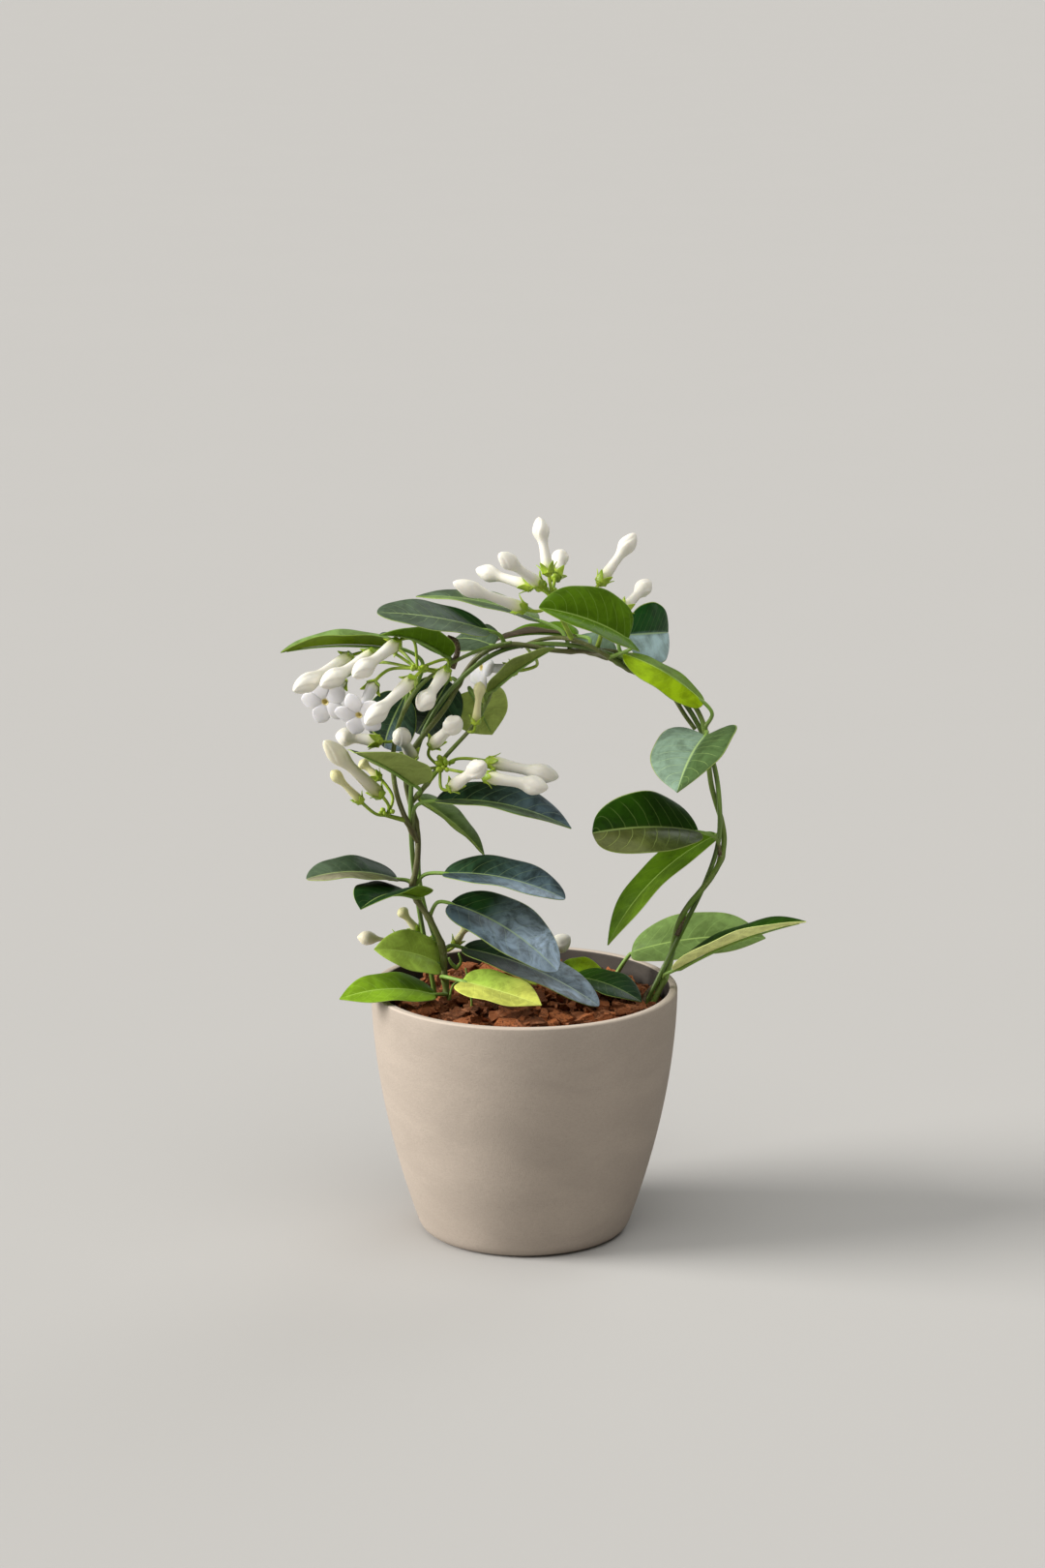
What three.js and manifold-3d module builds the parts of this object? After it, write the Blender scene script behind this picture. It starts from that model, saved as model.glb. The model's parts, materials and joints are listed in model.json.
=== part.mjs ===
// A potted Madagascar jasmine, trained round a wire hoop and standing in a tapered pot under bark mulch.
// Millimetres, +Z up. The origin is the centre of the pot's flat foot, and the plant is looked at along +Y.
import * as THREE from 'three';
import { mergeVertices } from 'three/addons/utils/BufferGeometryUtils.js';
import Module from 'manifold-3d';

const wasm = await Module();
wasm.setup();

// Driving dimensions
const POT = {
  height: 164, rim: 100, foot: 61, waist: 67.6, swell: 1.85, corner: 9, wall: 5.5, floor: 6, sides: 32,
};
const BED = { top: 152, depth: 3, gap: 0.4 };
const HOOP = { radius: 1.6, y: -6, steps: 36, sides: 5 };
const VINE = { lay: 4.2, turns: 7.5, sides: 5 };
const LEAF = { thickness: 0.8, narrowest: 0.7, petiole: 1.25 };
const MULCH = { chips: 13, reach: 78, seed: 7 };
const CLEAR = 0.3;
const GOLDEN_TURN = 2.39996;

const COLOURS = {
  pot: 0xb3a494, soil: 0x2b1c14, bark: 0x6d3820, hoop: 0x5d7a2c,
  stem: 0x4c5a22, spray: 0x86ad3c, petal: 0xf6f1e6,
  leaf_dark: 0x1d4a22, leaf_blue: 0x2d4650, leaf_mid: 0x4b7044, leaf_bright: 0x4f8a1f,
  leaf_young: 0xa3bf49,
};

const vec = (p) => (p.isVector3 ? p.clone() : new THREE.Vector3(...p));

// A closed BufferGeometry as a solid, with the triangles that collapse on an axis left out.
function solidOf(geometry) {
  const bare = (geometry.index ? geometry.toNonIndexed() : geometry.clone());
  for (const name of Object.keys(bare.attributes)) {
    if (name !== 'position') bare.deleteAttribute(name);
  }
  const merged = mergeVertices(bare, 1e-3);
  const kept = [];
  const index = merged.index.array;
  for (let i = 0; i < index.length; i += 3) {
    const [a, b, c] = [index[i], index[i + 1], index[i + 2]];
    if (a !== b && b !== c && c !== a) kept.push(a, b, c);
  }
  const mesh = new wasm.Mesh({
    numProp: 3,
    vertProperties: merged.attributes.position.array,
    triVerts: new Uint32Array(kept),
  });
  return new wasm.Manifold(mesh);
}

function geometryOf(solid) {
  const mesh = solid.getMesh();
  const geometry = new THREE.BufferGeometry();
  geometry.setAttribute('position', new THREE.BufferAttribute(new Float32Array(mesh.vertProperties), 3));
  geometry.setIndex(new THREE.BufferAttribute(new Uint32Array(mesh.triVerts), 1));
  geometry.computeVertexNormals();
  return geometry;
}

// The largest body of a cut solid, without the scraps.
function largest(solid) {
  const bodies = solid.decompose();
  bodies.sort((a, b) => b.volume() - a.volume());
  return bodies[0];
}

const joined = (solids) => solids.reduce((all, one) => all.add(one));

// A fixed sequence of random numbers from 0 to 1.
function draws(seed) {
  let state = seed;
  return () => {
    state = (state * 1664525 + 1013904223) % 4294967296;
    return state / 4294967296;
  };
}

// Rings of points, all with the same count, closed by a fan round the middle of each end.
function loft(rings) {
  const count = rings[0].length;
  const points = rings.flat();
  const triangles = [];
  for (let r = 0; r + 1 < rings.length; r++) {
    for (let k = 0; k < count; k++) {
      const next = (k + 1) % count;
      const [a, b, c, d] = [r * count + k, r * count + next, (r + 1) * count + k, (r + 1) * count + next];
      triangles.push(a, b, d, a, d, c);
    }
  }
  const last = (rings.length - 1) * count;
  const middle = (ring) => ring.reduce((sum, p) => sum.add(p), new THREE.Vector3()).divideScalar(count);
  points.push(middle(rings[0]), middle(rings[rings.length - 1]));
  for (let k = 0; k < count; k++) {
    const next = (k + 1) % count;
    triangles.push(points.length - 2, next, k);
    triangles.push(points.length - 1, last + k, last + next);
  }
  const geometry = new THREE.BufferGeometry().setFromPoints(points);
  geometry.setIndex(triangles);
  return solidOf(geometry);
}

const smooth = (points) => new THREE.CatmullRomCurve3(points.map(vec), false, 'centripetal');

// A round limb along a curve, radiusAt(0) thick at its start and radiusAt(1) at its end, grown all round.
function limb(curve, steps, sides, radiusAt, grow = 0) {
  const frames = curve.computeFrenetFrames(steps, false);
  const rings = [];
  for (let i = 0; i <= steps; i++) {
    const t = i / steps;
    const centre = curve.getPointAt(t);
    const past = t === 0 ? -grow : t === 1 ? grow : 0;
    centre.addScaledVector(frames.tangents[i], past);
    const radius = radiusAt(t) + grow;
    const ring = [];
    for (let k = 0; k < sides; k++) {
      const turn = (2 * Math.PI * k) / sides;
      const across = frames.normals[i].clone().multiplyScalar(radius * Math.cos(turn));
      const beside = frames.binormals[i].clone().multiplyScalar(radius * Math.sin(turn));
      ring.push(centre.clone().add(across).add(beside));
    }
    rings.push(ring);
  }
  return loft(rings);
}

// Pot: a turned shell with a rounded foot, a belly that narrows downwards and a thin flat rim.
const potRadius = (z) => POT.rim - (POT.rim - POT.waist) * (1 - z / POT.height) ** POT.swell;

function potShell() {
  const outline = new THREE.Path();
  outline.moveTo(0, 0);
  outline.lineTo(POT.foot, 0);
  outline.quadraticCurveTo(POT.foot + 0.8 * POT.corner, 0, potRadius(POT.corner), POT.corner);
  const rise = [0.16, 0.34, 0.62];
  for (const share of rise) outline.lineTo(potRadius(share * POT.height), share * POT.height);
  outline.lineTo(POT.rim - 0.2, POT.height - 1);
  outline.lineTo(POT.rim - 1.2, POT.height);
  outline.lineTo(POT.rim - POT.wall + 1, POT.height);
  for (const share of [...rise].reverse()) {
    outline.lineTo(potRadius(share * POT.height) - POT.wall, share * POT.height);
  }
  outline.lineTo(potRadius(POT.floor) - POT.wall - 2, POT.floor);
  outline.lineTo(0, POT.floor);
  return solidOf(new THREE.LatheGeometry(outline.getPoints(2), POT.sides).rotateX(Math.PI / 2));
}

// Soil and the bed under the mulch: what fills the pot, a little clear of its wall.
function filling(low, high) {
  const inner = (z) => potRadius(z) - POT.wall - BED.gap;
  const profile = [new THREE.Vector2(0, low)];
  const steps = high - low > 20 ? 3 : 1;
  for (let i = 0; i <= steps; i++) {
    const z = low + ((high - low) * i) / steps;
    profile.push(new THREE.Vector2(inner(z) - (i ? 0.6 : 3.5), z));
  }
  profile.push(new THREE.Vector2(0, high));
  return solidOf(new THREE.LatheGeometry(profile, POT.sides / 2).rotateX(Math.PI / 2));
}

// One chip of bark: a rough wedge with its corners pushed about.
function barkChip(random) {
  const box = new THREE.BoxGeometry(15 + 10 * random(), 9 + 6 * random(), 3 + 2 * random());
  const corners = new Map();
  const place = box.attributes.position;
  for (let i = 0; i < place.count; i++) {
    const key = [place.getX(i), place.getY(i), place.getZ(i)].map(Math.sign).join();
    if (!corners.has(key)) {
      corners.set(key, [0.7 + 0.5 * random(), 0.65 + 0.5 * random(), 0.6 + 0.6 * random()]);
    }
    const [sx, sy, sz] = corners.get(key);
    place.setXYZ(i, place.getX(i) * sx, place.getY(i) * sy, place.getZ(i) * sz);
  }
  return box;
}

function mulchBed() {
  const random = draws(MULCH.seed);
  const chips = [filling(BED.top - BED.depth, BED.top)];
  for (let i = 0; i < MULCH.chips; i++) {
    const reach = MULCH.reach * Math.sqrt((i + 0.5) / MULCH.chips);
    const chip = barkChip(random);
    chip.rotateX(0.5 * (random() - 0.5));
    chip.rotateY(0.5 * (random() - 0.5));
    chip.rotateZ(2 * Math.PI * random());
    const turn = i * GOLDEN_TURN;
    chip.translate(reach * Math.cos(turn), reach * Math.sin(turn), BED.top + 0.5 + 1.2 * random());
    chips.push(solidOf(chip));
  }
  return joined(chips).intersect(filling(BED.top - BED.depth, BED.top + 8));
}

// The hoop's own line: two legs pushed into the soil and an arch over them, all in one upright plane.
const hoopLine = smooth([
  [-52, 90], [-58, 156], [-69, 222], [-73, 265], [-72, 307], [-64, 336], [-42, 368], [-14, 388],
  [20, 392], [53, 386], [81, 372], [103, 353], [121, 316], [126, 284], [125, 260], [118, 237],
  [104, 206], [80, 155], [60, 112],
].map(([x, z]) => [x, HOOP.y, z]));

// A point that lies beside the hoop, on a helix round it.
function beside(share, phase) {
  const centre = hoopLine.getPointAt(share);
  const along = hoopLine.getTangentAt(share);
  const outward = new THREE.Vector3(-along.z, 0, along.x);
  const turn = phase + 2 * Math.PI * VINE.turns * share;
  centre.addScaledVector(outward, VINE.lay * Math.cos(turn));
  centre.y -= VINE.lay * Math.sin(turn);
  return centre;
}

function twined(from, to, phase) {
  const points = [];
  const count = Math.round(Math.abs(to - from) * 60);
  for (let i = 0; i <= count; i++) points.push(beside(from + ((to - from) * i) / count, phase));
  return points;
}

// Every stem: its line, its radius at the root and at the tip, and the steps that it is drawn in.
const leftLine = smooth([
  [-47, -14, 118], [-50, -12, 156], [-52, -12, 176], [-53, -12, 192], [-60, -14, 210],
  ...twined(0.2, 0.66, -2.1),
]);
const rightLine = smooth([[63, -8, 112], ...twined(0.9, 0.47, 1.04)]);
const fork = (hint) => nearest(leftLine.getSpacedPoints(200), hint);
const outerLine = smooth([
  fork([-73, -8, 262]), [-77, -12, 280], [-83, -13, 300], [-84, -13, 323], [-79, -13, 345], [-67, -14, 366],
  [-47, -15, 381], [-26, -16, 391], [-8, -15, 395],
]);
const innerLine = smooth([
  fork([-72, -10, 286]), [-62, -13, 303], [-52, -12, 318], [-32, -11, 341], [-23, -12, 358], [-19, -13, 369],
]);
const trailLine = smooth([
  fork([-50, -12, 160]), [-52, -5, 176], [-58, -3, 196], [-65, -1.5, 218], [-68.5, -1, 240], [-69, -1, 264],
  fork([-72, -10, 286]),
]);
const stems = {
  left: { line: leftLine, root: 2.2, tip: 1.4, steps: 38 },
  left_outer: { line: outerLine, root: 1.8, tip: 1.1, steps: 11 },
  left_inner: { line: innerLine, root: 1.7, tip: 1.1, steps: 8 },
  left_trail: { line: trailLine, root: 1.5, tip: 1.5, steps: 10 },
  right: { line: rightLine, root: 2.2, tip: 1.3, steps: 36 },
};

// Of some points, a copy of the one that lies nearest to a hint.
function nearest(points, hint) {
  const near = vec(hint);
  return points.reduce((best, p) => (p.distanceTo(near) < best.distanceTo(near) ? p : best)).clone();
}

function stemSolid({ line, root, tip, steps }, grow = 0) {
  return limb(line, steps, VINE.sides, (t) => root + (tip - root) * t, grow);
}

// Where a stalk springs: the point on the stems that lies nearest to a hint. The trailing one bears nothing.
const bearing = [stems.left, stems.left_outer, stems.left_inner, stems.right];
const stemPoints = bearing.flatMap(({ line }) => line.getSpacedPoints(160));
const springing = (hint) => nearest(stemPoints, hint);

// Leaves: where the stalk springs, where the blade begins and its tip; then the width, the way the upper face
// looks, the degrees that each half is raised, the arch's height and the reach of the base lobes. Last come
// the colour, the outline where it isn't the long one, and the degrees that the blade twists from end to end.
const LEAVES = [
  ['leaf_left_far', [-74, -12, 354], [-79, 4, 389], [-156, -4, 389],
    40, [0, 0.08, 1], 46, 4, 0, 'leaf_mid'],
  ['leaf_left_under', [-46, -8, 377], [-48, -14, 385], [-91, -44, 405],
    38, [0.1, 0.45, 0.9], 24, 5, 0, 'leaf_mid'],
  ['leaf_left_top', [-12, -8, 389], [-23, -12, 402], [-93, -32, 417],
    45, [0, -0.28, 1], 6, 3, 0, 'leaf_dark', 'blunt'],
  ['leaf_top_edge', [29, -2, 390], [9, 6, 405], [-70, 26, 417],
    38, [0, -0.05, 1], 14, 5, 0, 'leaf_dark'],
  ['leaf_top_back', [40, 0, 389], [34, 16, 393], [-18, 36, 386],
    36, [0, 0.05, 1], 30, 4, 0, 'leaf_mid'],
  ['leaf_inner_up', [-24, -10, 357], [-23, -14, 362], [19, -30, 394],
    34, [-0.5, 0.3, 0.8], 30, 2, 0, 'leaf_mid', 'spoon'],
  ['leaf_crown', [52, -8, 380], [66, -18, 397], [9, -46, 423],
    58, [0, -0.6, 0.8], 38, 4, 0, 'leaf_bright', 'egg'],
  ['leaf_crown_back', [66, -2, 378], [65, 4, 396], [93, 34, 392],
    44, [0, -1, 0.2], 22, 3, 0, 'leaf_dark', 'blunt'],
  ['leaf_crown_under', [58, -6, 380], [58, 10, 380], [30, 20, 389],
    24, [0, -0.5, 0.9], 20, 3, 0, 'leaf_mid'],
  ['leaf_right_arch', [114, -8, 337], [115, -12, 355], [63, -8, 386],
    33, [0.4, -0.5, 0.8], -32, 5, 0, 'leaf_young', 'blunt'],
  ['leaf_right_heart', [115, -8, 335], [116, -18, 335], [96, -68, 309],
    58, [-0.45, -0.85, 0.3], 20, 4, 0.2, 'leaf_mid', 'heart'],
  ['leaf_right_big', [130, -8, 251], [112, -16, 271], [43, -52, 279],
    54, [0, -0.72, 0.65], 32, 6, 0, 'leaf_dark', 'round', 36],
  ['leaf_right_hang', [126, -6, 253], [125, 2, 265], [54, -18, 196],
    38, [-0.6, -0.3, 0.7], 14, 10, 0, 'leaf_bright'],
  ['leaf_right_low', [88, -8, 172], [97, -14, 178], [181, -34, 216],
    46, [0, 0.08, 1], 36, 4, 0, 'leaf_bright'],
  ['leaf_mid_right', [-71, -8, 270], [-57, -14, 291], [30, -32, 277],
    44, [0, -0.2, 1], 32, 9, 0, 'leaf_blue'],
  ['leaf_mid_back', [-72, -6, 275], [-69, 2, 289], [-26, 5, 250],
    33, [0.67, -0.17, 0.74], 24, 3, 0, 'leaf_mid'],
  ['leaf_right_3', [-70, -8, 231], [-52, -14, 243], [26, -38, 232],
    41, [0, -0.3, 1], 24, 6, 0, 'leaf_blue', 'blunt'],
  ['leaf_right_4', [-62, -8, 213], [-48, -14, 223], [21, -44, 186],
    50, [0.3, -0.6, 1], 16, 8, 0, 'leaf_blue', 'blunt'],
  ['leaf_right_5', [-52, -8, 191], [-40, -6, 191], [48, -32, 159],
    48, [0.2, -0.2, 1], 14, 6, 0, 'leaf_blue', 'blunt'],
  ['leaf_young_right', [-52, -12, 170], [-40, -43, 179], [11, -68, 170],
    39, [0.1, -0.3, 1], 12, 1, 0.05, 'leaf_young', 'heart'],
  ['leaf_rim_left', [-50, -12, 161], [-58, -22, 164], [-119, -40, 166],
    35, [0, -0.35, 1], 12, 6, 0, 'leaf_bright'],
  ['leaf_young_left', [-52, -9, 185], [-55, -9, 181], [-97, -28, 196],
    34, [0, -0.7, 0.7], 24, 5, 0.05, 'leaf_bright'],
  ['leaf_left_low', [-70, -8, 235], [-82, -10, 238], [-140, -26, 242],
    42, [0, -0.15, 1], 18, 5, 0, 'leaf_dark', 'blunt'],
  ['leaf_left_turn', [-68, -8, 225], [-68, -14, 227], [-104, -60, 231],
    50, [0.1, 0.25, 1], 26, 6, 0, 'leaf_mid'],
  ['leaf_left_wing', [-73, -8, 296], [-70, -18, 302], [-107, -60, 333],
    56, [0.25, 0.4, 0.8], 24, 2, 0, 'leaf_mid'],
  ['leaf_hang_left', [-73, 0, 350], [-77, 5, 356], [-91, 27, 317],
    38, [-0.2, -0.9, 0.3], 14, 5, 0.04, 'leaf_blue'],
  ['leaf_hang_mid', [-45, 0, 366], [-49, 4, 366], [-70, 30, 326],
    42, [0.1, -0.9, 0.3], 14, 5, 0.04, 'leaf_blue'],
  ['leaf_olive', [-32, 0, 355], [-35, 6, 359], [-21, 30, 325],
    40, [-0.2, 0.9, 0.3], 10, 3, 0.04, 'leaf_young'],
];

// Leaves on shoots of their own, which come out of the soil.
const SHOOTS = [
  ['leaf_soil_right', [[58, 43, 128], [60, 42, 156], [65, 40, 167], [71, 38, 176]], 2.2,
    [[[71, 38, 176], [158, 14, 192], 46, [0, -0.5, 0.85], 20, 6, 0]], 'leaf_bright'],
  ['leaf_shoot', [[20, 17, 128], [20, 17, 156], [23, 15, 164], [31, 10, 167]], 1.6,
    [
      [[31, 10, 167], [76, -22, 159], 31, [0.1, -0.3, 1], 14, 4, 0],
      [[21, 17, 161], [52, 16, 169], 28, [-0.2, -0.6, 0.8], 12, 3, 0],
    ], 'leaf_dark'],
];

const BLADE = { rows: 5, columns: 4 };

// Outlines of a blade: the lower its belly, the nearer to the base it is widest. Its point draws out the tip.
const OUTLINES = {
  long: { belly: 0.88, point: 0.45 },
  blunt: { belly: 0.88, point: 0.1 },
  egg: { belly: 0.66, point: 0.2 },
  heart: { belly: 0.7, point: 0.5 },
  round: { belly: 0.95, point: -0.12 },
  spoon: { belly: 1.2, point: 0.1 },
};

// A blade's half width from its base at 0 to its tip at 1.
function outlineShare(s, { belly, point }) {
  const round = 1 - (2 * s ** belly - 1) ** 2;
  return Math.max(round, 0) ** (0.44 + point * s ** 4);
}

function bladeFrame([, , base, tip, , face]) {
  const from = vec(base);
  const along = vec(tip).sub(from);
  const length = along.length();
  along.normalize();
  const up = vec(face);
  up.addScaledVector(along, -up.dot(along)).normalize();
  return { from, along, up, side: along.clone().cross(up), length };
}

// A point of a blade: s runs from base to tip, and v from one edge at -1 to the other at 1.
function bladePoint(leaf, frame, s, v) {
  const [, , , , width, , fold, arch, lobe, , outline = 'long', twist = 0] = leaf;
  const lean = THREE.MathUtils.degToRad(fold);
  const turn = THREE.MathUtils.degToRad(twist * (s - 0.5));
  const share = outlineShare(s, OUTLINES[outline]);
  const out = Math.abs(v) * Math.max((width / 2) * share, LEAF.narrowest);
  const reach = frame.length * (s - lobe * v * v * share * (1 - s) ** 2);
  const wide = Math.sign(v) * out * Math.cos(lean);
  const high = out * Math.sin(lean) * (1 - 0.45 * Math.abs(v));
  return frame.from.clone()
    .addScaledVector(frame.along, reach)
    .addScaledVector(frame.side, wide * Math.cos(turn) - high * Math.sin(turn))
    .addScaledVector(frame.up, wide * Math.sin(turn) + high * Math.cos(turn) + 4 * arch * s * (1 - s));
}

function bladeSolid(leaf) {
  const { rows, columns } = BLADE;
  const frame = bladeFrame(leaf);
  const thick = LEAF.thickness / 2;
  const upper = [];
  const lower = [];
  const share = (i) => (1 - Math.cos((Math.PI * i) / rows)) / 2;
  const at = (i, j) => bladePoint(leaf, frame, share(i), (2 * j) / columns - 1);
  for (let i = 0; i <= rows; i++) {
    for (let j = 0; j <= columns; j++) {
      const point = at(i, j);
      const along = at(Math.min(i + 1, rows), j).sub(at(Math.max(i - 1, 0), j));
      const across = at(i, Math.min(j + 1, columns)).sub(at(i, Math.max(j - 1, 0)));
      const normal = along.cross(across).normalize();
      if (normal.dot(frame.up) < 0) normal.negate();
      upper.push(point.clone().addScaledVector(normal, thick));
      lower.push(point.clone().addScaledVector(normal, -thick));
    }
  }
  return loftSheet(upper, lower, rows, columns);
}

// Two like grids of points, closed round their edge and split into triangles alike on both faces.
function loftSheet(upper, lower, rows, columns) {
  const line = columns + 1;
  const shift = upper.length;
  const triangles = [];
  for (let i = 0; i < rows; i++) {
    for (let j = 0; j < columns; j++) {
      const [a, b, c, d] = [i * line + j, i * line + j + 1, (i + 1) * line + j, (i + 1) * line + j + 1];
      triangles.push(a, b, d, a, d, c);
      triangles.push(a + shift, d + shift, b + shift, a + shift, c + shift, d + shift);
    }
  }
  const edge = [];
  for (let j = 0; j < columns; j++) edge.push(j);
  for (let i = 0; i < rows; i++) edge.push(i * line + columns);
  for (let j = columns; j > 0; j--) edge.push(rows * line + j);
  for (let i = rows; i > 0; i--) edge.push(i * line);
  edge.forEach((a, k) => {
    const b = edge[(k + 1) % edge.length];
    triangles.push(a, b + shift, b, a, a + shift, b + shift);
  });
  const geometry = new THREE.BufferGeometry().setFromPoints([...upper, ...lower]);
  geometry.setIndex(triangles);
  return solidOf(geometry);
}

// A stalk from its stem to the foot of what it bears, which it meets head on.
function stalk(from, to, along, radius, steps = 2) {
  const length = from.distanceTo(to);
  const bend = to.clone().addScaledVector(along, -0.45 * length);
  const line = smooth([from, bend.lerp(from, 0.25), to, to.clone().addScaledVector(along, 3)]);
  return limb(line, steps, 4, () => radius);
}

// A leaf with its stalk.
function leafSolid(leaf) {
  const [, spring, base] = leaf;
  const { along } = bladeFrame(leaf);
  return bladeSolid(leaf).add(stalk(springing(spring), vec(base), along, LEAF.petiole, 3));
}

function shootSolid([, line, radius, blades]) {
  const stem = limb(smooth(line), 6, 6, (t) => radius + (LEAF.petiole - radius) * t);
  return joined([stem, ...blades.map((blade) => bladeSolid(['', null, ...blade]))]);
}

// Flowers: the spray that bears them, their own name where the corolla is a piece of its own, what they are,
// the foot of the corolla and its tip.
const SPRAYS = {
  spray_top: { spring: [29, -8, 391], hub: [17, -16, 424], girth: 0.88 },
  spray_top_right: { spring: [47, -6, 387], hub: [53, -4, 410], girth: 0.88 },
  spray_left: { spring: [-54, -15, 376], hub: [-68, -20, 379] },
  spray_low_left: { spring: [-77, -12, 276], hub: [-88, -17, 282] },
  spray_mid: { spring: [-63, -10, 303], hub: [-54, -18, 314] },
  spray_base: { spring: [-51, -10, 197], hub: [-60, 6, 195] },
};

const FLOWERS = [
  ['spray_top', 'bud_top_1', 'bud', [-1, -20, 418], [-45, -34, 437]],
  ['spray_top', 'bud_top_2', 'bud', [3, -12, 431], [-31, 2, 439]],
  ['spray_top', 'bud_top_3', 'bud', [9, -22, 434], [-16, -38, 456]],
  ['spray_top', 'bud_top_4', 'bud', [15, -16, 441], [9, -6, 474]],
  ['spray_top', '', 'bud', [20, -6, 436], [24, 22, 447]],
  ['spray_top_right', 'bud_right_1', 'bud', [49, -2, 432], [71, 10, 461]],
  ['spray_top_right', '', 'bud', [63, 4, 412], [81, 28, 427]],
  ['spray_left', 'bud_left_1', 'bud', [-81, -34, 398], [-107, -66, 383]],
  ['spray_left', '', 'bud', [-97, -14, 387], [-128, -52, 374]],
  ['spray_left', 'bud_left_3', 'bud', [-113, 0, 382], [-145, -52, 371]],
  ['spray_left', 'flower_left_1', 'open', [-118, 8, 365], [-127, -24, 358]],
  ['spray_left', 'flower_left_2', 'open', [-96, -30, 370], [-104, -60, 357]],
  ['spray_left', 'bud_left_4', 'bud', [-71, -48, 377], [-99, -82, 356]],
  ['spray_left', 'bud_left_5', 'bud', [-50, -30, 379], [-66, -58, 360]],
  ['spray_low_left', '', 'bud', [-93, -20, 297], [-127, -44, 337]],
  ['spray_low_left', '', 'young', [-94, -7, 305], [-106, -3, 315]],
  ['spray_low_left', '', 'young', [-105, -26, 294], [-123, -32, 315]],
  ['spray_mid', 'bud_mid_1', 'bud', [-72, -14, 320], [-80, -36, 342]],
  ['spray_mid', 'bud_mid_2', 'bud', [-58, -26, 331], [-41, -52, 353]],
  ['spray_mid', 'bud_mid_3', 'bud', [-46, -34, 305], [-25, -60, 326]],
  ['spray_mid', 'bud_mid_4', 'bud', [-24, -36, 312], [15, -50, 308]],
  ['spray_mid', 'bud_mid_5', 'bud', [-22, -20, 318], [22, -24, 309]],
  ['spray_base', '', 'slim', [-82, 8, 192], [-109, 2, 196]],
  ['spray_base', '', 'young', [-45, 9, 190], [-36, 6, 205]],
  ['spray_base', '', 'young', [-70, -2, 202], [-81, -4, 217]],
  ['', 'bud_outer', 'bud', [-94, -16, 331], [-121, -14, 334]],
  ['', 'flower_inner', 'open', [-7, 20, 370], [-28, 9, 374]],
];

// Radii along a corolla from its foot to its tip, in millimetres, each at its share of the length.
const COROLLA = {
  bud: [[0, 3.4], [0.48, 2.9], [0.66, 4.7], [0.8, 6.2], [0.91, 4.4], [1, 0.7]],
  young: [[0, 2.5], [0.5, 2.4], [0.7, 3.6], [0.86, 3.6], [1, 0.5]],
  slim: [[0, 1.5], [0.4, 1.5], [0.6, 3.4], [0.8, 4.6], [1, 0.5]],
  open: [[0, 3.4], [0.5, 2.8], [0.92, 3.4]],
};
const PETALS = { reach: 0.41, notch: 0.68, rise: 1.2, throat: 1.8 };
const CALYX = {
  sepals: 5, under: -2, floor: -0.5, foot: 3.6, rim: 4.7, notch: 0.6, length: 5.5, spread: 6.8,
};

// Two directions square to an axis.
function square(axis) {
  const away = Math.abs(axis.z) < 0.8 ? new THREE.Vector3(0, 0, 1) : new THREE.Vector3(0, 1, 0);
  const first = away.cross(axis).normalize();
  return [first, axis.clone().cross(first)];
}

// A body of rings round an axis: each station gives [distance, radius] for a corner's number.
function turned(from, axis, stations, sides) {
  const [first, second] = square(axis);
  return loft(stations.map((station) => {
    const ring = [];
    for (let k = 0; k < sides; k++) {
      const turn = (2 * Math.PI * k) / sides;
      const [distance, radius] = station(k);
      ring.push(from.clone().addScaledVector(axis, distance)
        .addScaledVector(first, radius * Math.cos(turn))
        .addScaledVector(second, radius * Math.sin(turn)));
    }
    return ring;
  }));
}

function corollaSolid([spray, , kind, foot, tip], sunk = 0) {
  const girth = SPRAYS[spray]?.girth ?? 1;
  const from = vec(foot);
  const axis = vec(tip).sub(from);
  const length = axis.length();
  axis.normalize();
  const stations = COROLLA[kind].map(([share, radius], i) => (k) => {
    const pressed = kind === 'bud' && i > 1 && k % 2 ? 0.86 : 1;
    return [share * length - (i ? 0 : sunk), radius * pressed * girth];
  });
  if (kind !== 'open') return turned(from, axis, stations, kind === 'bud' ? 8 : 6);
  const reach = PETALS.reach * length;
  const petal = (k) => (k % 3 ? 1 : PETALS.notch);
  stations.push((k) => [length - 1, 0.55 * reach * (0.5 + 0.5 * petal(k))]);
  stations.push((k) => [length - 0.4, reach * petal(k)]);
  stations.push((k) => [length + 0.6, reach * petal(k)]);
  stations.push((k) => [length + PETALS.rise, 0.5 * reach * (0.5 + 0.5 * petal(k))]);
  stations.push(() => [length, PETALS.throat]);
  return turned(from, axis, stations, 15);
}

// A cup of pointed sepals round a flat floor, on which the corolla stands.
function calyxSolid(foot, axis, size = 1) {
  const { sepals, under, floor, foot: wide, rim, notch, length, spread } = CALYX;
  const stations = [
    () => [under, wide],
    (k) => (k % 2 ? [notch, rim] : [length, spread]),
    () => [floor, wide],
  ];
  const scaled = stations.map((station) => (k) => station(k).map((value) => size * value));
  return turned(foot, axis, scaled, 2 * sepals);
}

// A spray: its stalk, a stalk to every flower, the calyces, and the corollas too small to part from them.
function spraySolid(name) {
  const { spring, hub } = SPRAYS[name];
  const middle = vec(hub);
  const root = springing(spring);
  const parts = [stalk(root, middle, middle.clone().sub(root).normalize(), 1.5)];
  for (const flower of FLOWERS.filter(([spray]) => spray === name)) {
    const [, own, kind, foot, tip] = flower;
    parts.push(...flowerFoot(middle, vec(foot), vec(tip), kind));
    if (!own) parts.push(corollaSolid(flower, 0.8));
  }
  return joined(parts);
}

// A flower's own stalk and its calyx.
function flowerFoot(from, foot, tip, kind) {
  const axis = tip.clone().sub(foot).normalize();
  const below = foot.clone().addScaledVector(axis, CALYX.under - 2.2);
  return [stalk(from, below, axis, 1), calyxSolid(foot, axis, kind === 'young' ? 0.75 : 1)];
}

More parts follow.
